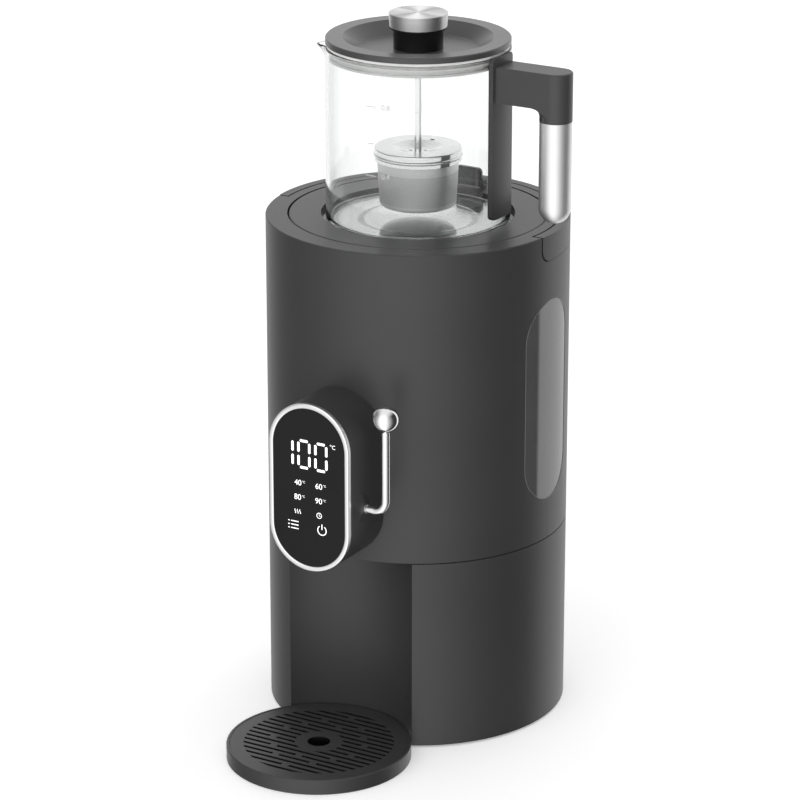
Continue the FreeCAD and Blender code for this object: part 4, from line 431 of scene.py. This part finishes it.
def lathe(outline, segments=128, centre=(0.0, 0.0), shift=None):
    """A solid of revolution; shift moves a point by its angle, radius and height."""
    bm = bmesh.new()
    rings = []
    for point in outline:
        radius, height = point[0], point[1]
        if radius < TINY:
            rings.append([bm.verts.new((centre[0], centre[1], height))] * segments)
            continue
        ring = []
        for index in range(segments):
            angle = 2 * math.pi * index / segments
            r, z = shift(angle, radius, height) if shift else (radius, height)
            x = centre[0] + r * math.cos(angle)
            y = centre[1] + r * math.sin(angle)
            ring.append(bm.verts.new((x, y, z)))
        rings.append(ring)
    for first, second in zip(rings, rings[1:] + rings[:1]):
        for index in range(segments):
            following = (index + 1) % segments
            corners = [first[index], first[following], second[following], second[index]]
            unique = []
            for vert in corners:
                if vert not in unique:
                    unique.append(vert)
            if len(unique) >= 3:
                bm.faces.new(unique)
    return bm


def lay_along_x(bm, start):
    """Turns a lathed mesh so that its axis runs along X from this point."""
    matrix = Matrix.Translation(start) @ Matrix.Rotation(math.radians(90), 4, "Y")
    bmesh.ops.transform(bm, matrix=matrix, verts=bm.verts)
    return bm


def tube(path, radii):
    """A round bar along a path in an XZ plane; each spot has its own radius, and both ends are closed."""
    bm = bmesh.new()
    rings = []
    side = Vector((0, 1, 0))
    for index, spot in enumerate(path):
        along = (path[min(index + 1, len(path) - 1)] - path[max(index - 1, 0)]).normalized()
        up = along.cross(side)
        rings.append(loop_round(bm, spot, side, up, radii[index], BAR_SIDES))
    for first, second in zip(rings, rings[1:]):
        join_loops(bm, first, second)
    bm.faces.new(rings[0][::-1])
    bm.faces.new(rings[-1])
    return bm


def pierce(item, spots, radius, low, high):
    """Bores upright holes through a finished piece."""
    bm = bmesh.new()
    for x, y in spots:
        matrix = Matrix.Translation((x, y, (low + high) / 2))
        bmesh.ops.create_cone(bm, cap_ends=True, segments=HOLE_SIDES, radius1=radius, radius2=radius,
                              depth=high - low, matrix=matrix)
    mesh = bpy.data.meshes.new("drill")
    bm.to_mesh(mesh)
    bm.free()
    drill = bpy.data.objects.new("drill", mesh)
    bpy.context.scene.collection.objects.link(drill)
    modifier = item.modifiers.new("holes", "BOOLEAN")
    modifier.operation = "DIFFERENCE"
    modifier.solver = "EXACT"
    modifier.object = drill
    bpy.context.view_layer.update()
    bored = bpy.data.meshes.new_from_object(item.evaluated_get(bpy.context.evaluated_depsgraph_get()))
    item.modifiers.clear()
    item.data = bored
    smooth(bored)
    bpy.data.objects.remove(drill)


def wrap(bm, radius):
    """Rolls a flat mesh in the plane y = 0 round the upright axis; its -y side faces outward."""
    for vert in bm.verts:
        angle = vert.co.x / radius
        reach = radius - vert.co.y
        vert.co = Vector((reach * math.sin(angle), -reach * math.cos(angle), vert.co.z))
    return bm


def stadium_points(centre_x, centre_z, half_width, half_straight, steps=40):
    """Points round a stadium in the XZ plane, anticlockwise seen from the front."""
    points = []
    for side, start in ((1, 0.0), (-1, math.pi)):
        for step in range(steps + 1):
            angle = start + math.pi * step / steps
            points.append((centre_x + half_width * math.cos(angle),
                           centre_z + side * half_straight + half_width * math.sin(angle)))
    return points


def prism(bm, points, near, far):
    """Adds a flat plate with this outline in XZ, between two distances along Y."""
    front = [bm.verts.new((x, near, z)) for x, z in points]
    back = [bm.verts.new((x, far, z)) for x, z in points]
    bm.faces.new(front)
    bm.faces.new(back[::-1])
    join_loops(bm, front, back)


# Pieces

def add_pot():
    """The glass pot: a rounded foot, a fire-polished rim and a pouring lip pressed out of the rim."""
    low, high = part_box("pot_glass")
    foot = low.z
    rim = high.z
    radius = high.x
    wall = 2.4 * MM
    floor = 3.2 * MM
    lip_angle = math.radians(206)
    lip_reach = 5.5 * MM
    lip_depth = 8 * MM
    lip_half = math.radians(9.5)
    lip_flare = 1.6
    lip_rings = 8
    rim_edge = 1.1 * MM

    def pour(angle, r, z):
        """Draws the wall out under the rim where the lip is."""
        off = abs((angle - lip_angle + math.pi) % (2 * math.pi) - math.pi)
        if off > lip_half or z < rim - lip_depth or r < radius - 2 * wall:
            return r, z
        across = 0.5 + 0.5 * math.cos(math.pi * off / lip_half)
        up = (z - rim + lip_depth) / lip_depth
        return r + lip_reach * across * up ** lip_flare, z

    wall_levels = [rim - lip_depth * step / lip_rings for step in range(1, lip_rings + 1)]
    outline = soften([(0, foot), (radius, foot, 4.0 * MM), (radius, rim, rim_edge),
                      (radius - wall, rim, rim_edge), (radius - wall, foot + floor, 3.0 * MM),
                      (0, foot + floor)], 0.5 * MM, steps=7)
    points = []
    for first, second in zip(outline, outline[1:]):
        points.append(first)
        if abs(second.y - first.y) > lip_depth * 2:
            levels = wall_levels if second.y < first.y else wall_levels[::-1]
            points += [Vector((first.x, level)) for level in levels]
    points.append(outline[-1])
    bm = lathe(points, segments=288, shift=pour)
    piece("glass_pot", bm, GLASS, "pot", ["pot_glass"])


# Level marks of the pot: height, length in millimetres, and the plain number beside it
LEVELS = ((0.4027, 7.0, "0.8"), (0.3797, 4.0, None), (0.3596, 7.0, "0.4"))
LEVEL_PARTS = 12
LEVEL_WIDTH = 0.5 * MM
LEVEL_NUMBER_X = 10.0 * MM
LEVEL_NUMBER_SIZE = 4.6 * MM


def add_pot_marks():
    """Ticks and plain numbers printed on the front of the glass."""
    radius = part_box("pot_glass")[1].x
    ink = 0.05 * MM
    lift = 0.02 * MM
    for index, (height, length, words) in enumerate(LEVELS):
        bm = bmesh.new()
        half = length / 2 * MM
        spots = [(-half + 2 * half * step / LEVEL_PARTS, 0.0) for step in range(LEVEL_PARTS + 1)]
        stroke_along(bm, spots, LEVEL_WIDTH, -ink, 0.0)
        for vert in bm.verts:
            vert.co.z += height
        if words:
            add_letters(bm, words, LEVEL_NUMBER_X, height, LEVEL_NUMBER_SIZE, ink)
        piece("level_mark_%d" % index, wrap(bm, radius + lift), PRINT, "pot")


def add_pod_ring():
    """The bright ring: a flat face with rounded edges, all round the display."""
    low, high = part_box("pod_ring")
    width = 3.0 * MM
    middle_z = (low.z + high.z) / 2
    half_width = (high.x - low.x) / 2
    half_straight = (high.z - low.z) / 2 - half_width
    face = low.y
    back = high.y
    edge = 0.7 * MM
    steps = 6
    turns = [math.pi / 2 * step / steps for step in range(steps + 1)]
    profile = [(0.0, back)]
    profile += [(edge - edge * math.cos(t), face + edge - edge * math.sin(t)) for t in turns]
    profile += [(width - edge + edge * math.sin(t), face + edge - edge * math.cos(t)) for t in turns]
    profile += [(width, back)]
    bm = bmesh.new()
    loops = []
    for inset, depth in profile:
        points = stadium_points(0.0, middle_z, half_width - inset, half_straight)
        loops.append([bm.verts.new((x, depth, z)) for x, z in points])
    for first, second in zip(loops, loops[1:] + loops[:1]):
        join_loops(bm, first, second)
    piece("display_ring", bm, RING_FINISH, "appliance", ["pod_ring"])


def add_lever():
    """The lever: a polished ball on a bent rod, with a collar where it leaves the bush."""
    ball_low, ball_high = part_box("lever_ball")
    ball = (ball_low + ball_high) / 2
    ball_radius = (ball_high.x - ball_low.x) / 2
    steps = 64
    turns = [math.pi * step / steps for step in range(steps + 1)]
    outline = [(ball_radius * math.sin(t), ball.z - ball_radius * math.cos(t)) for t in turns]
    outline[0] = (0.0, outline[0][1])
    outline[-1] = (0.0, outline[-1][1])
    bm = lathe(outline, centre=(ball.x, ball.y))
    piece("knob_ball", bm, BALL_FINISH, "lever", ["lever_ball"])

    collar = 3.0 * MM
    collar_edge = 0.3 * MM
    collar_spots = (0.0, 0.3, 1.1, 1.4, 1.5)
    rod = 2.7 * MM
    bend = 8.0 * MM
    bend_steps = 24
    into_ball = 0.9
    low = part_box("lever_rod")[0]
    height = sum(corner.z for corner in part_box("lever_spindle")) / 2
    path = [Vector((low.x + along * MM, ball.y, height)) for along in collar_spots]
    radii = [collar - collar_edge, collar, collar, collar - collar_edge, rod]
    for step in range(bend_steps + 1):
        turn = math.pi / 2 * step / bend_steps
        x = ball.x - bend + bend * math.sin(turn)
        z = height + bend - bend * math.cos(turn)
        path.append(Vector((x, ball.y, z)))
    path.append(Vector((ball.x, ball.y, ball.z - ball_radius * into_ball)))
    radii += [rod] * (len(path) - len(radii))
    piece("lever_bar", tube(path, radii), ROD_FINISH, "lever", ["lever_rod"])


def add_lever_bush():
    """The bush: it grows out of the pod's side in a soft flare."""
    low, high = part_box("lever_bush")
    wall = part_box("pod_housing")[1].x
    middle = (low + high) / 2
    bore = 3.1 * MM
    sleeve = 4.4 * MM
    foot = 9.0 * MM
    tip = 3.6 * MM
    sunk = 0.4 * MM
    steps = 16
    flare = wall - low.x
    outline = [(bore, 0.0), (sleeve, 0.0), (sleeve, flare - sunk), (foot, flare - sunk)]
    for step in range(steps + 1):
        share = step / steps
        outline.append((tip + (foot - tip) * (1 - share) ** 2, flare + (high.x - wall) * share))
    outline.append((bore, high.x - low.x))
    bm = lay_along_x(lathe(outline, segments=96), Vector((low.x, middle.y, middle.z)))
    piece("bush_flare", bm, PLASTIC, "appliance", ["lever_bush"])


# Holes in the infuser's cover, across and along the part: two in the well's floor and one in the rim
STEAM_HOLES = ((-3.9 * MM, -2.3 * MM), (3.9 * MM, 2.3 * MM))
EDGE_HOLES = ((0.4 * MM, 17.3 * MM),)


def add_infuser():
    """The infuser's cover, with its well, bead and steam holes, and its mesh basket."""
    low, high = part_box("infuser_cover")
    top = high.z
    side = 27.1 * MM
    sheet = 0.8 * MM
    bead = top - 4.4 * MM
    bead_radius = high.x
    bead_root = 1.0 * MM
    bead_flat = 0.4 * MM
    well = 15.0 * MM
    well_foot = 7.0 * MM
    floor = top - 2.8 * MM
    edge = 0.3 * MM
    crease = 0.5 * MM
    bend = 1.0 * MM
    outline = soften([(0, floor), (well_foot, floor, 3.0 * MM), (well, top, 2.0 * MM), (side, top, 0.9 * MM),
                      (side, bead + bead_root, crease), (bead_radius, bead + bead_flat, bead_flat),
                      (bead_radius, bead - bead_flat, bead_flat), (side, bead - bead_root, crease),
                      (side, low.z, edge), (side - sheet, low.z, edge), (side - sheet, top - sheet, edge),
                      (well + sheet / 2, top - sheet, bend), (well_foot + sheet / 2, floor - sheet, bend),
                      (0, floor - sheet)], crease)
    bm = lathe(outline, segments=160)
    cover = piece("infuser_top", bm, INFUSER_FINISH, "infuser", ["infuser_cover"])
    through = 3 * MM
    for spots, radius, level in ((STEAM_HOLES, 1.0 * MM, floor), (EDGE_HOLES, 1.5 * MM, top)):
        pierce(cover, spots, radius, level - through, level + through)

    low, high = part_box("infuser_basket")
    rim = high.x
    rim_foot = high.z - 2.0 * MM
    foot = 23.9 * MM
    shoulder = 25.6 * MM
    crease = 0.2 * MM
    outline = soften([(0, low.z), (foot, low.z, 2.6 * MM), (shoulder, rim_foot, crease),
                      (rim, rim_foot, crease), (rim, high.z, edge), (shoulder - sheet, high.z, edge),
                      (foot - sheet, low.z + sheet, 2.0 * MM), (0, low.z + sheet)], edge)
    bm = lathe(outline, segments=160)
    piece("mesh_basket", bm, BASKET_FINISH, "basket", ["infuser_basket"])


# Radii of the hot plate's pressed groove and of the step down from its rim
PLATE_GROOVE = 35.6 * MM
PLATE_STEP = 50.0 * MM


def add_hot_plate():
    """The hot plate: a raised rim, a rounded groove and a slightly dished middle."""
    low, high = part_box("hot_plate")
    radius = high.x
    top = high.z
    bed = top - 0.5 * MM
    slope = 0.6 * MM
    half = 2.2 * MM
    depth = 1.5 * MM
    dish = 0.5 * MM
    edge = 0.3 * MM
    groove_edge = 0.8 * MM
    middle = PLATE_GROOVE - half - 0.5 * MM
    outline = soften([(0, low.z), (radius, low.z, edge), (radius, top, 0.9 * MM),
                      (PLATE_STEP + slope, top, edge), (PLATE_STEP, bed, edge),
                      (PLATE_GROOVE + half, bed, groove_edge), (PLATE_GROOVE, bed - depth, 1.0 * MM),
                      (PLATE_GROOVE - half, bed, groove_edge)], 0.5 * MM)
    shares = (0.98, 0.9, 0.8, 0.7, 0.6, 0.5, 0.4, 0.3, 0.2, 0.1, 0.0)
    outline += [Vector((middle * share, bed - dish * (1 - share ** 2))) for share in shares]
    piece("plate_disc", lathe(outline, segments=192), PLATE_FINISH, "cover", ["hot_plate"])


def add_knob():
    """The lid's knob: a black neck with a lip, and a turned metal cap with a bevelled edge."""
    low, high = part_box("knob_neck")
    neck = high.x
    lip = 17.5 * MM
    lip_foot = high.z - 1.1 * MM
    edge = 0.3 * MM
    outline = soften([(0, low.z), (neck, low.z, 0.2 * MM), (neck, lip_foot - 0.5 * MM, 0.4 * MM),
                      (lip, lip_foot, edge), (lip, high.z, 0.2 * MM), (0, high.z)], edge)
    piece("knob_stem", lathe(outline), GLOSS, "lid", ["knob_neck"])
    low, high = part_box("knob_cap")
    radius = high.x
    taper = 0.6 * MM
    bevel = 0.7 * MM
    outline = soften([(0, low.z), (radius - taper, low.z, edge), (radius, high.z, bevel), (0, high.z)], edge)
    piece("turned_cap", lathe(outline), CAP_FINISH, "lid", ["knob_cap"])


def add_window_trim():
    """A thin polished bead in the gap round the window."""
    low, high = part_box("tank_window")
    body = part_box("upper_housing")[1].y
    bead = 0.3 * MM
    gap = 0.2 * MM
    sunk = 0.1 * MM
    sides = 12
    middle_y = (low.y + high.y) / 2
    middle_z = (low.z + high.z) / 2
    half_width = (high.y - low.y) / 2
    half_straight = (high.z - low.z) / 2 - half_width
    reach = body - sunk
    rim = stadium_points(middle_y, middle_z, half_width + gap, half_straight, steps=64)
    spots = [Vector((math.sqrt(reach ** 2 - y ** 2), y, z)) for y, z in rim]
    bm = bmesh.new()
    rings = []
    for index, spot in enumerate(spots):
        along = (spots[(index + 1) % len(spots)] - spots[index - 1]).normalized()
        out = Vector((spot.x, spot.y, 0)).normalized()
        rings.append(loop_round(bm, spot, out, along.cross(out), bead, sides))
    for first, second in zip(rings, rings[1:] + rings[:1]):
        join_loops(bm, first, second)
    piece("window_trim", bm, WINDOW, "appliance")


# The display's print: the glass that it stands on, how thick it is, and the sign of its unit
DISPLAY_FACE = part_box("display_glass")[0].y
DISPLAY_INK = 0.06 * MM
DEGREES = "\u00b0C"


def segment_outline(x, z, length, width, upright):
    """A display segment with pointed ends."""
    half = length / 2
    side = width / 2
    cut = side * 0.7
    spots = [(-half, 0), (cut - half, -side), (half - cut, -side),
             (half, 0), (half - cut, side), (cut - half, side)]
    if upright:
        spots = [(-b, a) for a, b in spots]
    return [(x + a, z + b) for a, b in spots]


# Lit segments of each digit, and the temperature's digits with the middle of each across the display
SEGMENTS = {"1": "bc", "0": "abcdef"}
DIGITS = (("1", -15.2 * MM), ("0", -3.3 * MM), ("0", 8.7 * MM))
DIGITS_Z = 0.2025


def add_digits():
    """The temperature in lit segments, on the display's glass."""
    width = 7.7 * MM
    height = 17.1 * MM
    stroke = 1.65 * MM
    upright = height / 2 - 1.8 * MM
    across = width - 1.7 * MM
    spots = {"a": (0, height / 2, across, False), "d": (0, -height / 2, across, False),
             "b": (width / 2, height / 4, upright, True), "c": (width / 2, -height / 4, upright, True),
             "e": (-width / 2, -height / 4, upright, True), "f": (-width / 2, height / 4, upright, True)}
    bm = bmesh.new()
    for kind, middle in DIGITS:
        for key in SEGMENTS[kind]:
            x, z, length, along_z = spots[key]
            outline = segment_outline(middle + x, DIGITS_Z + z, length, stroke, along_z)
            prism(bm, outline, DISPLAY_FACE - DISPLAY_INK, DISPLAY_FACE)
    piece("display_digits", bm, LIT, "appliance")


def add_letters(bm, words, x, z, size, depth):
    """Adds plain numbers or units to a mesh, standing in the plane y = 0 and as thick as the ink."""
    curve = bpy.data.curves.new("words", "FONT")
    curve.body = words
    curve.size = size
    curve.align_x = "CENTER"
    curve.align_y = "CENTER"
    curve.extrude = depth / 2
    text = bpy.data.objects.new("words", curve)
    bpy.context.scene.collection.objects.link(text)
    bpy.context.view_layer.update()
    mesh = bpy.data.meshes.new_from_object(text.evaluated_get(bpy.context.evaluated_depsgraph_get()))
    bpy.data.objects.remove(text)
    for vert in mesh.vertices:
        vert.co = Vector((x + vert.co.x, -vert.co.z - depth / 2, z + vert.co.y))
    bm.from_mesh(mesh)
    bpy.data.meshes.remove(mesh)
    bmesh.ops.remove_doubles(bm, verts=bm.verts, dist=TINY)


def lettering(name, words, x, z, size):
    """Plain numbers or units, lit on the display."""
    bm = bmesh.new()
    add_letters(bm, words, x, z, size, DISPLAY_INK)
    for vert in bm.verts:
        vert.co.y += DISPLAY_FACE
    piece(name, bm, LIT, "appliance")


def stroke_along(bm, points, width, near, far):
    """Adds a flat line of even width through points in XZ."""
    spots = [Vector(p) for p in points]
    left, right = [], []
    for index, spot in enumerate(spots):
        before = spots[max(index - 1, 0)]
        after = spots[min(index + 1, len(spots) - 1)]
        along = (after - before).normalized()
        side = Vector((-along.y, along.x)) * width / 2
        left.append(spot + side)
        right.append(spot - side)
    prism(bm, [tuple(p) for p in right + left[::-1]], near, far)


def arc_points(x, z, radius, start, end):
    """Points on an arc in XZ, between two angles in degrees."""
    steps = 24
    spots = []
    for step in range(steps + 1):
        angle = math.radians(start + (end - start) * step / steps)
        spots.append((x + radius * math.cos(angle), z + radius * math.sin(angle)))
    return spots


def add_icons():
    """Generic marks on the display: a list, a power sign, heat waves and a clock."""
    bold = 0.6 * MM
    wave_width = 0.45 * MM
    dial_width = 0.4 * MM
    hand_width = 0.35 * MM
    bm = bmesh.new()

    def line(points, width):
        stroke_along(bm, points, width, DISPLAY_FACE - DISPLAY_INK, DISPLAY_FACE)

    list_z = 0.1557
    list_pitch = 2.3 * MM
    for row in range(3):
        z = list_z + (1 - row) * list_pitch
        for left, right in ((-15.0, -13.9), (-12.9, -7.6)):
            line([(left * MM, z), (right * MM, z)], bold)

    power_x = 9.1 * MM
    power_z = 0.1555
    line(arc_points(power_x, power_z, 3.0 * MM, -235, 55), bold)
    line([(power_x, power_z + 0.5 * MM), (power_x, power_z + 4.0 * MM)], bold)

    waves_x = -9.8 * MM
    waves_z = 0.1634
    waves_pitch = 1.7 * MM
    wave_height = 2.8 * MM
    wave_swing = 0.35 * MM
    steps = 12
    for column in range(3):
        x = waves_x + column * waves_pitch
        line([(x + wave_swing * math.sin(math.pi * 2 * step / steps), waves_z + wave_height * step / steps)
              for step in range(steps + 1)], wave_width)

    clock_x = 7.2 * MM
    clock_z = 0.1648
    line(arc_points(clock_x, clock_z, 1.7 * MM, 0, 360), dial_width)
    line([(clock_x, clock_z + 1.1 * MM), (clock_x, clock_z), (clock_x + 0.8 * MM, clock_z - 0.4 * MM)],
         hand_width)
    piece("display_icons", bm, LIT, "appliance")


# Preset temperatures on the display, with the place of each in millimetres
PRESETS = (("40", -7.7, 183.5), ("60", 7.1, 183.5), ("80", -8.0, 174.1), ("90", 6.9, 174.0))


def add_display_print():
    """Everything that the display shows."""
    add_digits()
    add_icons()
    lettering("display_unit", DEGREES, 17.0 * MM, 210.5 * MM, 3.7 * MM)
    for words, x, z in PRESETS:
        lettering("preset_" + words, words, x * MM, z * MM, 5.1 * MM)
        lettering("preset_%s_unit" % words, DEGREES, (x + 4.0) * MM, (z + 1.0) * MM, 1.9 * MM)


# Stage

def add_camera():
    """The photograph's view."""
    azimuth = math.radians(CAMERA_AZIMUTH)
    elevation = math.radians(CAMERA_ELEVATION)
    right = Vector((math.cos(azimuth), math.sin(azimuth), 0))
    back = Vector((math.sin(azimuth) * math.cos(elevation), -math.cos(azimuth) * math.cos(elevation),
                   math.sin(elevation)))
    data = bpy.data.cameras.new("camera")
    data.lens = CAMERA_LENS
    data.sensor_width = CAMERA_SENSOR
    data.clip_end = 50.0
    camera = bpy.data.objects.new("camera", data)
    camera.location = right * AIM_RIGHT + Vector((0, 0, AIM_HEIGHT)) + back * CAMERA_DISTANCE
    camera.rotation_euler = back.to_track_quat("Z", "Y").to_euler()
    bpy.context.scene.collection.objects.link(camera)
    bpy.context.scene.camera = camera


# Brightness of the studio by direction, in degrees round the object from its front towards the lever
STUDIO = ((-180, 1.12), (-125, 1.12), (-100, 0.33), (-70, 0.22), (-45, 0.5), (-20, 1.25),
          (5, 1.5), (28, 1.5), (48, 1.0), (62, 0.6), (76, 0.35), (90, 0.12), (102, 0.05),
          (134, 0.05), (137, 1.12), (180, 1.12))

# The ceiling: the upward part of a direction at which the walls start to turn into it and at which they have
# done so, and its brightness
CEILING_STARTS = 0.55
CEILING_ENDS = 0.95
CEILING_LEVEL = 1.05

# The floor: half its width, its tone, and its glow where the camera or the glass sees it
FLOOR_HALF = 12.0
FLOOR_TONE = 0.88
FLOOR_GLOW = 0.34


def grey(level):
    """An opaque grey."""
    return level, level, level, 1


def add_world():
    """A white room with a soft box in front and darker sides."""
    world = bpy.data.worlds.new("studio")
    bpy.context.scene.world = world
    world.use_nodes = True
    tree = world.node_tree
    nodes = tree.nodes
    background = nodes["Background"]
    place = nodes.new("ShaderNodeTexCoord")
    split = nodes.new("ShaderNodeSeparateXYZ")
    tree.links.new(place.outputs["Generated"], split.inputs["Vector"])
    away = nodes.new("ShaderNodeMath")
    away.operation = "MULTIPLY"
    away.inputs[1].default_value = -1.0
    tree.links.new(split.outputs["Y"], away.inputs[0])
    turn = nodes.new("ShaderNodeMath")
    turn.operation = "ARCTAN2"
    tree.links.new(split.outputs["X"], turn.inputs[0])
    tree.links.new(away.outputs[0], turn.inputs[1])
    ranger = nodes.new("ShaderNodeMapRange")
    ranger.inputs["From Min"].default_value = -math.pi
    ranger.inputs["From Max"].default_value = math.pi
    tree.links.new(turn.outputs[0], ranger.inputs["Value"])
    ramp = nodes.new("ShaderNodeValToRGB")
    stops = ramp.color_ramp.elements
    stops[0].color = grey(STUDIO[0][1])
    stops[1].color = grey(STUDIO[-1][1])
    for degrees, level in STUDIO[1:-1]:
        stops.new((degrees + 180) / 360).color = grey(level)
    tree.links.new(ranger.outputs["Result"], ramp.inputs["Fac"])
    rise = nodes.new("ShaderNodeMapRange")
    rise.inputs["From Min"].default_value = CEILING_STARTS
    rise.inputs["From Max"].default_value = CEILING_ENDS
    tree.links.new(split.outputs["Z"], rise.inputs["Value"])
    mix = nodes.new("ShaderNodeMix")
    mix.data_type = "RGBA"
    tree.links.new(rise.outputs["Result"], mix.inputs["Factor"])
    tree.links.new(ramp.outputs["Color"], mix.inputs["A"])
    mix.inputs["B"].default_value = grey(CEILING_LEVEL)
    tree.links.new(mix.outputs["Result"], background.inputs["Color"])


def add_floor():
    """A pale floor that shows the object's shadow and runs on as the white background."""
    bm = bmesh.new()
    bmesh.ops.create_grid(bm, x_segments=1, y_segments=1, size=FLOOR_HALF)
    mesh = bpy.data.meshes.new("floor")
    bm.to_mesh(mesh)
    bm.free()
    floor = bpy.data.objects.new("floor", mesh)
    bpy.context.scene.collection.objects.link(floor)
    floor.visible_glossy = False
    material = bpy.data.materials.new("pale_floor")
    material.use_nodes = True
    tree = material.node_tree
    shader = tree.nodes["Principled BSDF"]
    shader.inputs["Base Color"].default_value = grey(FLOOR_TONE)
    shader.inputs["Roughness"].default_value = 0.9
    shader.inputs["Specular IOR Level"].default_value = 0.0
    shader.inputs["Emission Color"].default_value = grey(1)
    path = tree.nodes.new("ShaderNodeLightPath")
    seen = tree.nodes.new("ShaderNodeMath")
    seen.operation = "MAXIMUM"
    tree.links.new(path.outputs["Is Camera Ray"], seen.inputs[0])
    tree.links.new(path.outputs["Is Transmission Ray"], seen.inputs[1])
    level = tree.nodes.new("ShaderNodeMath")
    level.operation = "MULTIPLY"
    level.inputs[1].default_value = FLOOR_GLOW
    tree.links.new(seen.outputs[0], level.inputs[0])
    tree.links.new(level.outputs[0], shader.inputs["Emission Strength"])
    mesh.materials.append(material)


# The object

PLASTIC = moulded("black_plastic", BLACK, 0.42)
# The lid is the black plastic made half again lighter: painted light from above
LID_PLASTIC_PAINTED_LIGHT = moulded("lid_plastic_painted_light", shade(BLACK, 1.5), 0.3)
# The handle is the black plastic made a fifth lighter: painted light
HANDLE_PLASTIC_PAINTED_LIGHT = moulded("handle_plastic_painted_light", shade(BLACK, 1.2), 0.42)
GRATE_LOW, GRATE_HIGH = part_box("drip_grate")
# The tray's well under the grate gets painted shade
TRAY_PLASTIC = moulded("tray_plastic", BLACK, 0.42, well=(
    (GRATE_LOW + GRATE_HIGH) / 2, GRATE_HIGH.x + 0.4 * MM, GRATE_HIGH.z - 0.2 * MM))
GLOSS = moulded("polished_black", GLOSSY_BLACK, 0.22, grain=0.000004, spread=0.02)
INNER = moulded("inner_plastic", (0.3, 0.3, 0.31), 0.5)
CHROME_FINISH = metal("chrome", CHROME, 0.12, spread=0.02)
BALL_FINISH = metal("polished_ball", CHROME, 0.09, spread=0.02, scratch=0.000001)
ROD_FINISH = metal("polished_rod", (0.86, 0.86, 0.86), 0.2, spread=0.02, scratch=0.000001)
RING_FINISH = metal("satin_ring", (0.92, 0.92, 0.92), 0.3, spread=0.02, scratch=0.000001)
SATIN = metal("satin_steel", (0.66, 0.66, 0.67), 0.27, stretch=(1, 1, 0.02))
GRIP_FINISH = metal("brushed_grip", (0.84, 0.84, 0.84), 0.5, spread=0.02, stretch=(1, 1, 0.02),
                    scale=4000.0, scratch=0.000001)
CAP_FINISH = turned_metal("turned_cap", (0.86, 0.86, 0.86), 0.55, 1.0)
# The plate's groove and step get painted shade
PLATE_FINISH = turned_metal("turned_plate", (0.78, 0.78, 0.78), 0.2, 0.3, painted_shade_rings=(
    (PLATE_GROOVE, 3.2 * MM), (PLATE_STEP + 0.3 * MM, 1.0 * MM)))
INFUSER_FINISH = turned_metal("turned_infuser", (0.7, 0.7, 0.7), 0.2, 0.2)
BASKET_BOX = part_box("infuser_basket")
BASKET_FINISH = turned_metal("mesh_steel", (0.92, 0.92, 0.92), 0.52, 0.2, pierced=(
    BASKET_BOX[0].z + 3.4 * MM, BASKET_BOX[0].z + 23.0 * MM, 25.0 * MM, 1.15 * MM))
GLASS = clear_glass("pot_glass_clear")
WINDOW = smoked_glass("smoked_window", (0.085, 0.085, 0.086), 0.04, ior=1.8)
DISPLAY = smoked_glass("display_black", (0.013, 0.013, 0.0135), 0.16, specular=0.15)
RUBBER = soft_rubber("black_rubber", (0.03, 0.03, 0.03))
SEAL = soft_rubber("white_silicone", SILICONE, 0.4)
LIT = glowing("lit_print", (1.0, 1.0, 1.0), 0.9)
PRINT = printed("level_print", GREY_PRINT)
BOARD = circuit("solder_mask")
BRASS = metal("plated_brass", (0.7, 0.5, 0.2), 0.25)

dress(PLASTIC, "lower_housing", "upper_housing", "cover_ring", "bail_handle", "pod_housing",
      "latch_tab", "base_plate", "mid_deck", "spout_nozzle")
dress(LID_PLASTIC_PAINTED_LIGHT, "pot_lid")
dress(HANDLE_PLASTIC_PAINTED_LIGHT, "handle_strap", "handle_arm")
dress(TRAY_PLASTIC, "drip_tray", "drip_grate")
dress(DISPLAY, "display_glass")
dress(CHROME_FINISH, "lever_spindle", "tab_pin", "bail_pins")
dress(SATIN, "boiler_shell", "boiler_element", "pump_motor", "handle_screws", "housing_screws",
      "valve_plunger", "temperature_sensor", "plate_heater", "cover_pan", "water_tank")
dress(ROD_FINISH, "upper_rod", "lower_rod")
dress(GRIP_FINISH, "handle_grip")
dress(WINDOW, "tank_window")
dress(RUBBER, "rubber_feet", "window_gasket", "tank_seal")
dress(SEAL, "plate_seal", "lid_seal", "suction_hose", "feed_hose", "outlet_hose")
dress(INNER, "pump_housing", "pump_rotor", "valve_body", "power_inlet", "power_relay", "power_supply",
      "board_standoffs")
dress(BOARD, "main_circuit_board", "display_board")
dress(BRASS, "inlet_contacts")

add_pot()
add_pot_marks()
add_pod_ring()
add_lever()
add_lever_bush()
add_infuser()
add_hot_plate()
add_knob()
add_window_trim()
add_display_print()

add_world()
add_floor()
add_camera()
bpy.context.scene.view_settings.view_transform = "Standard"
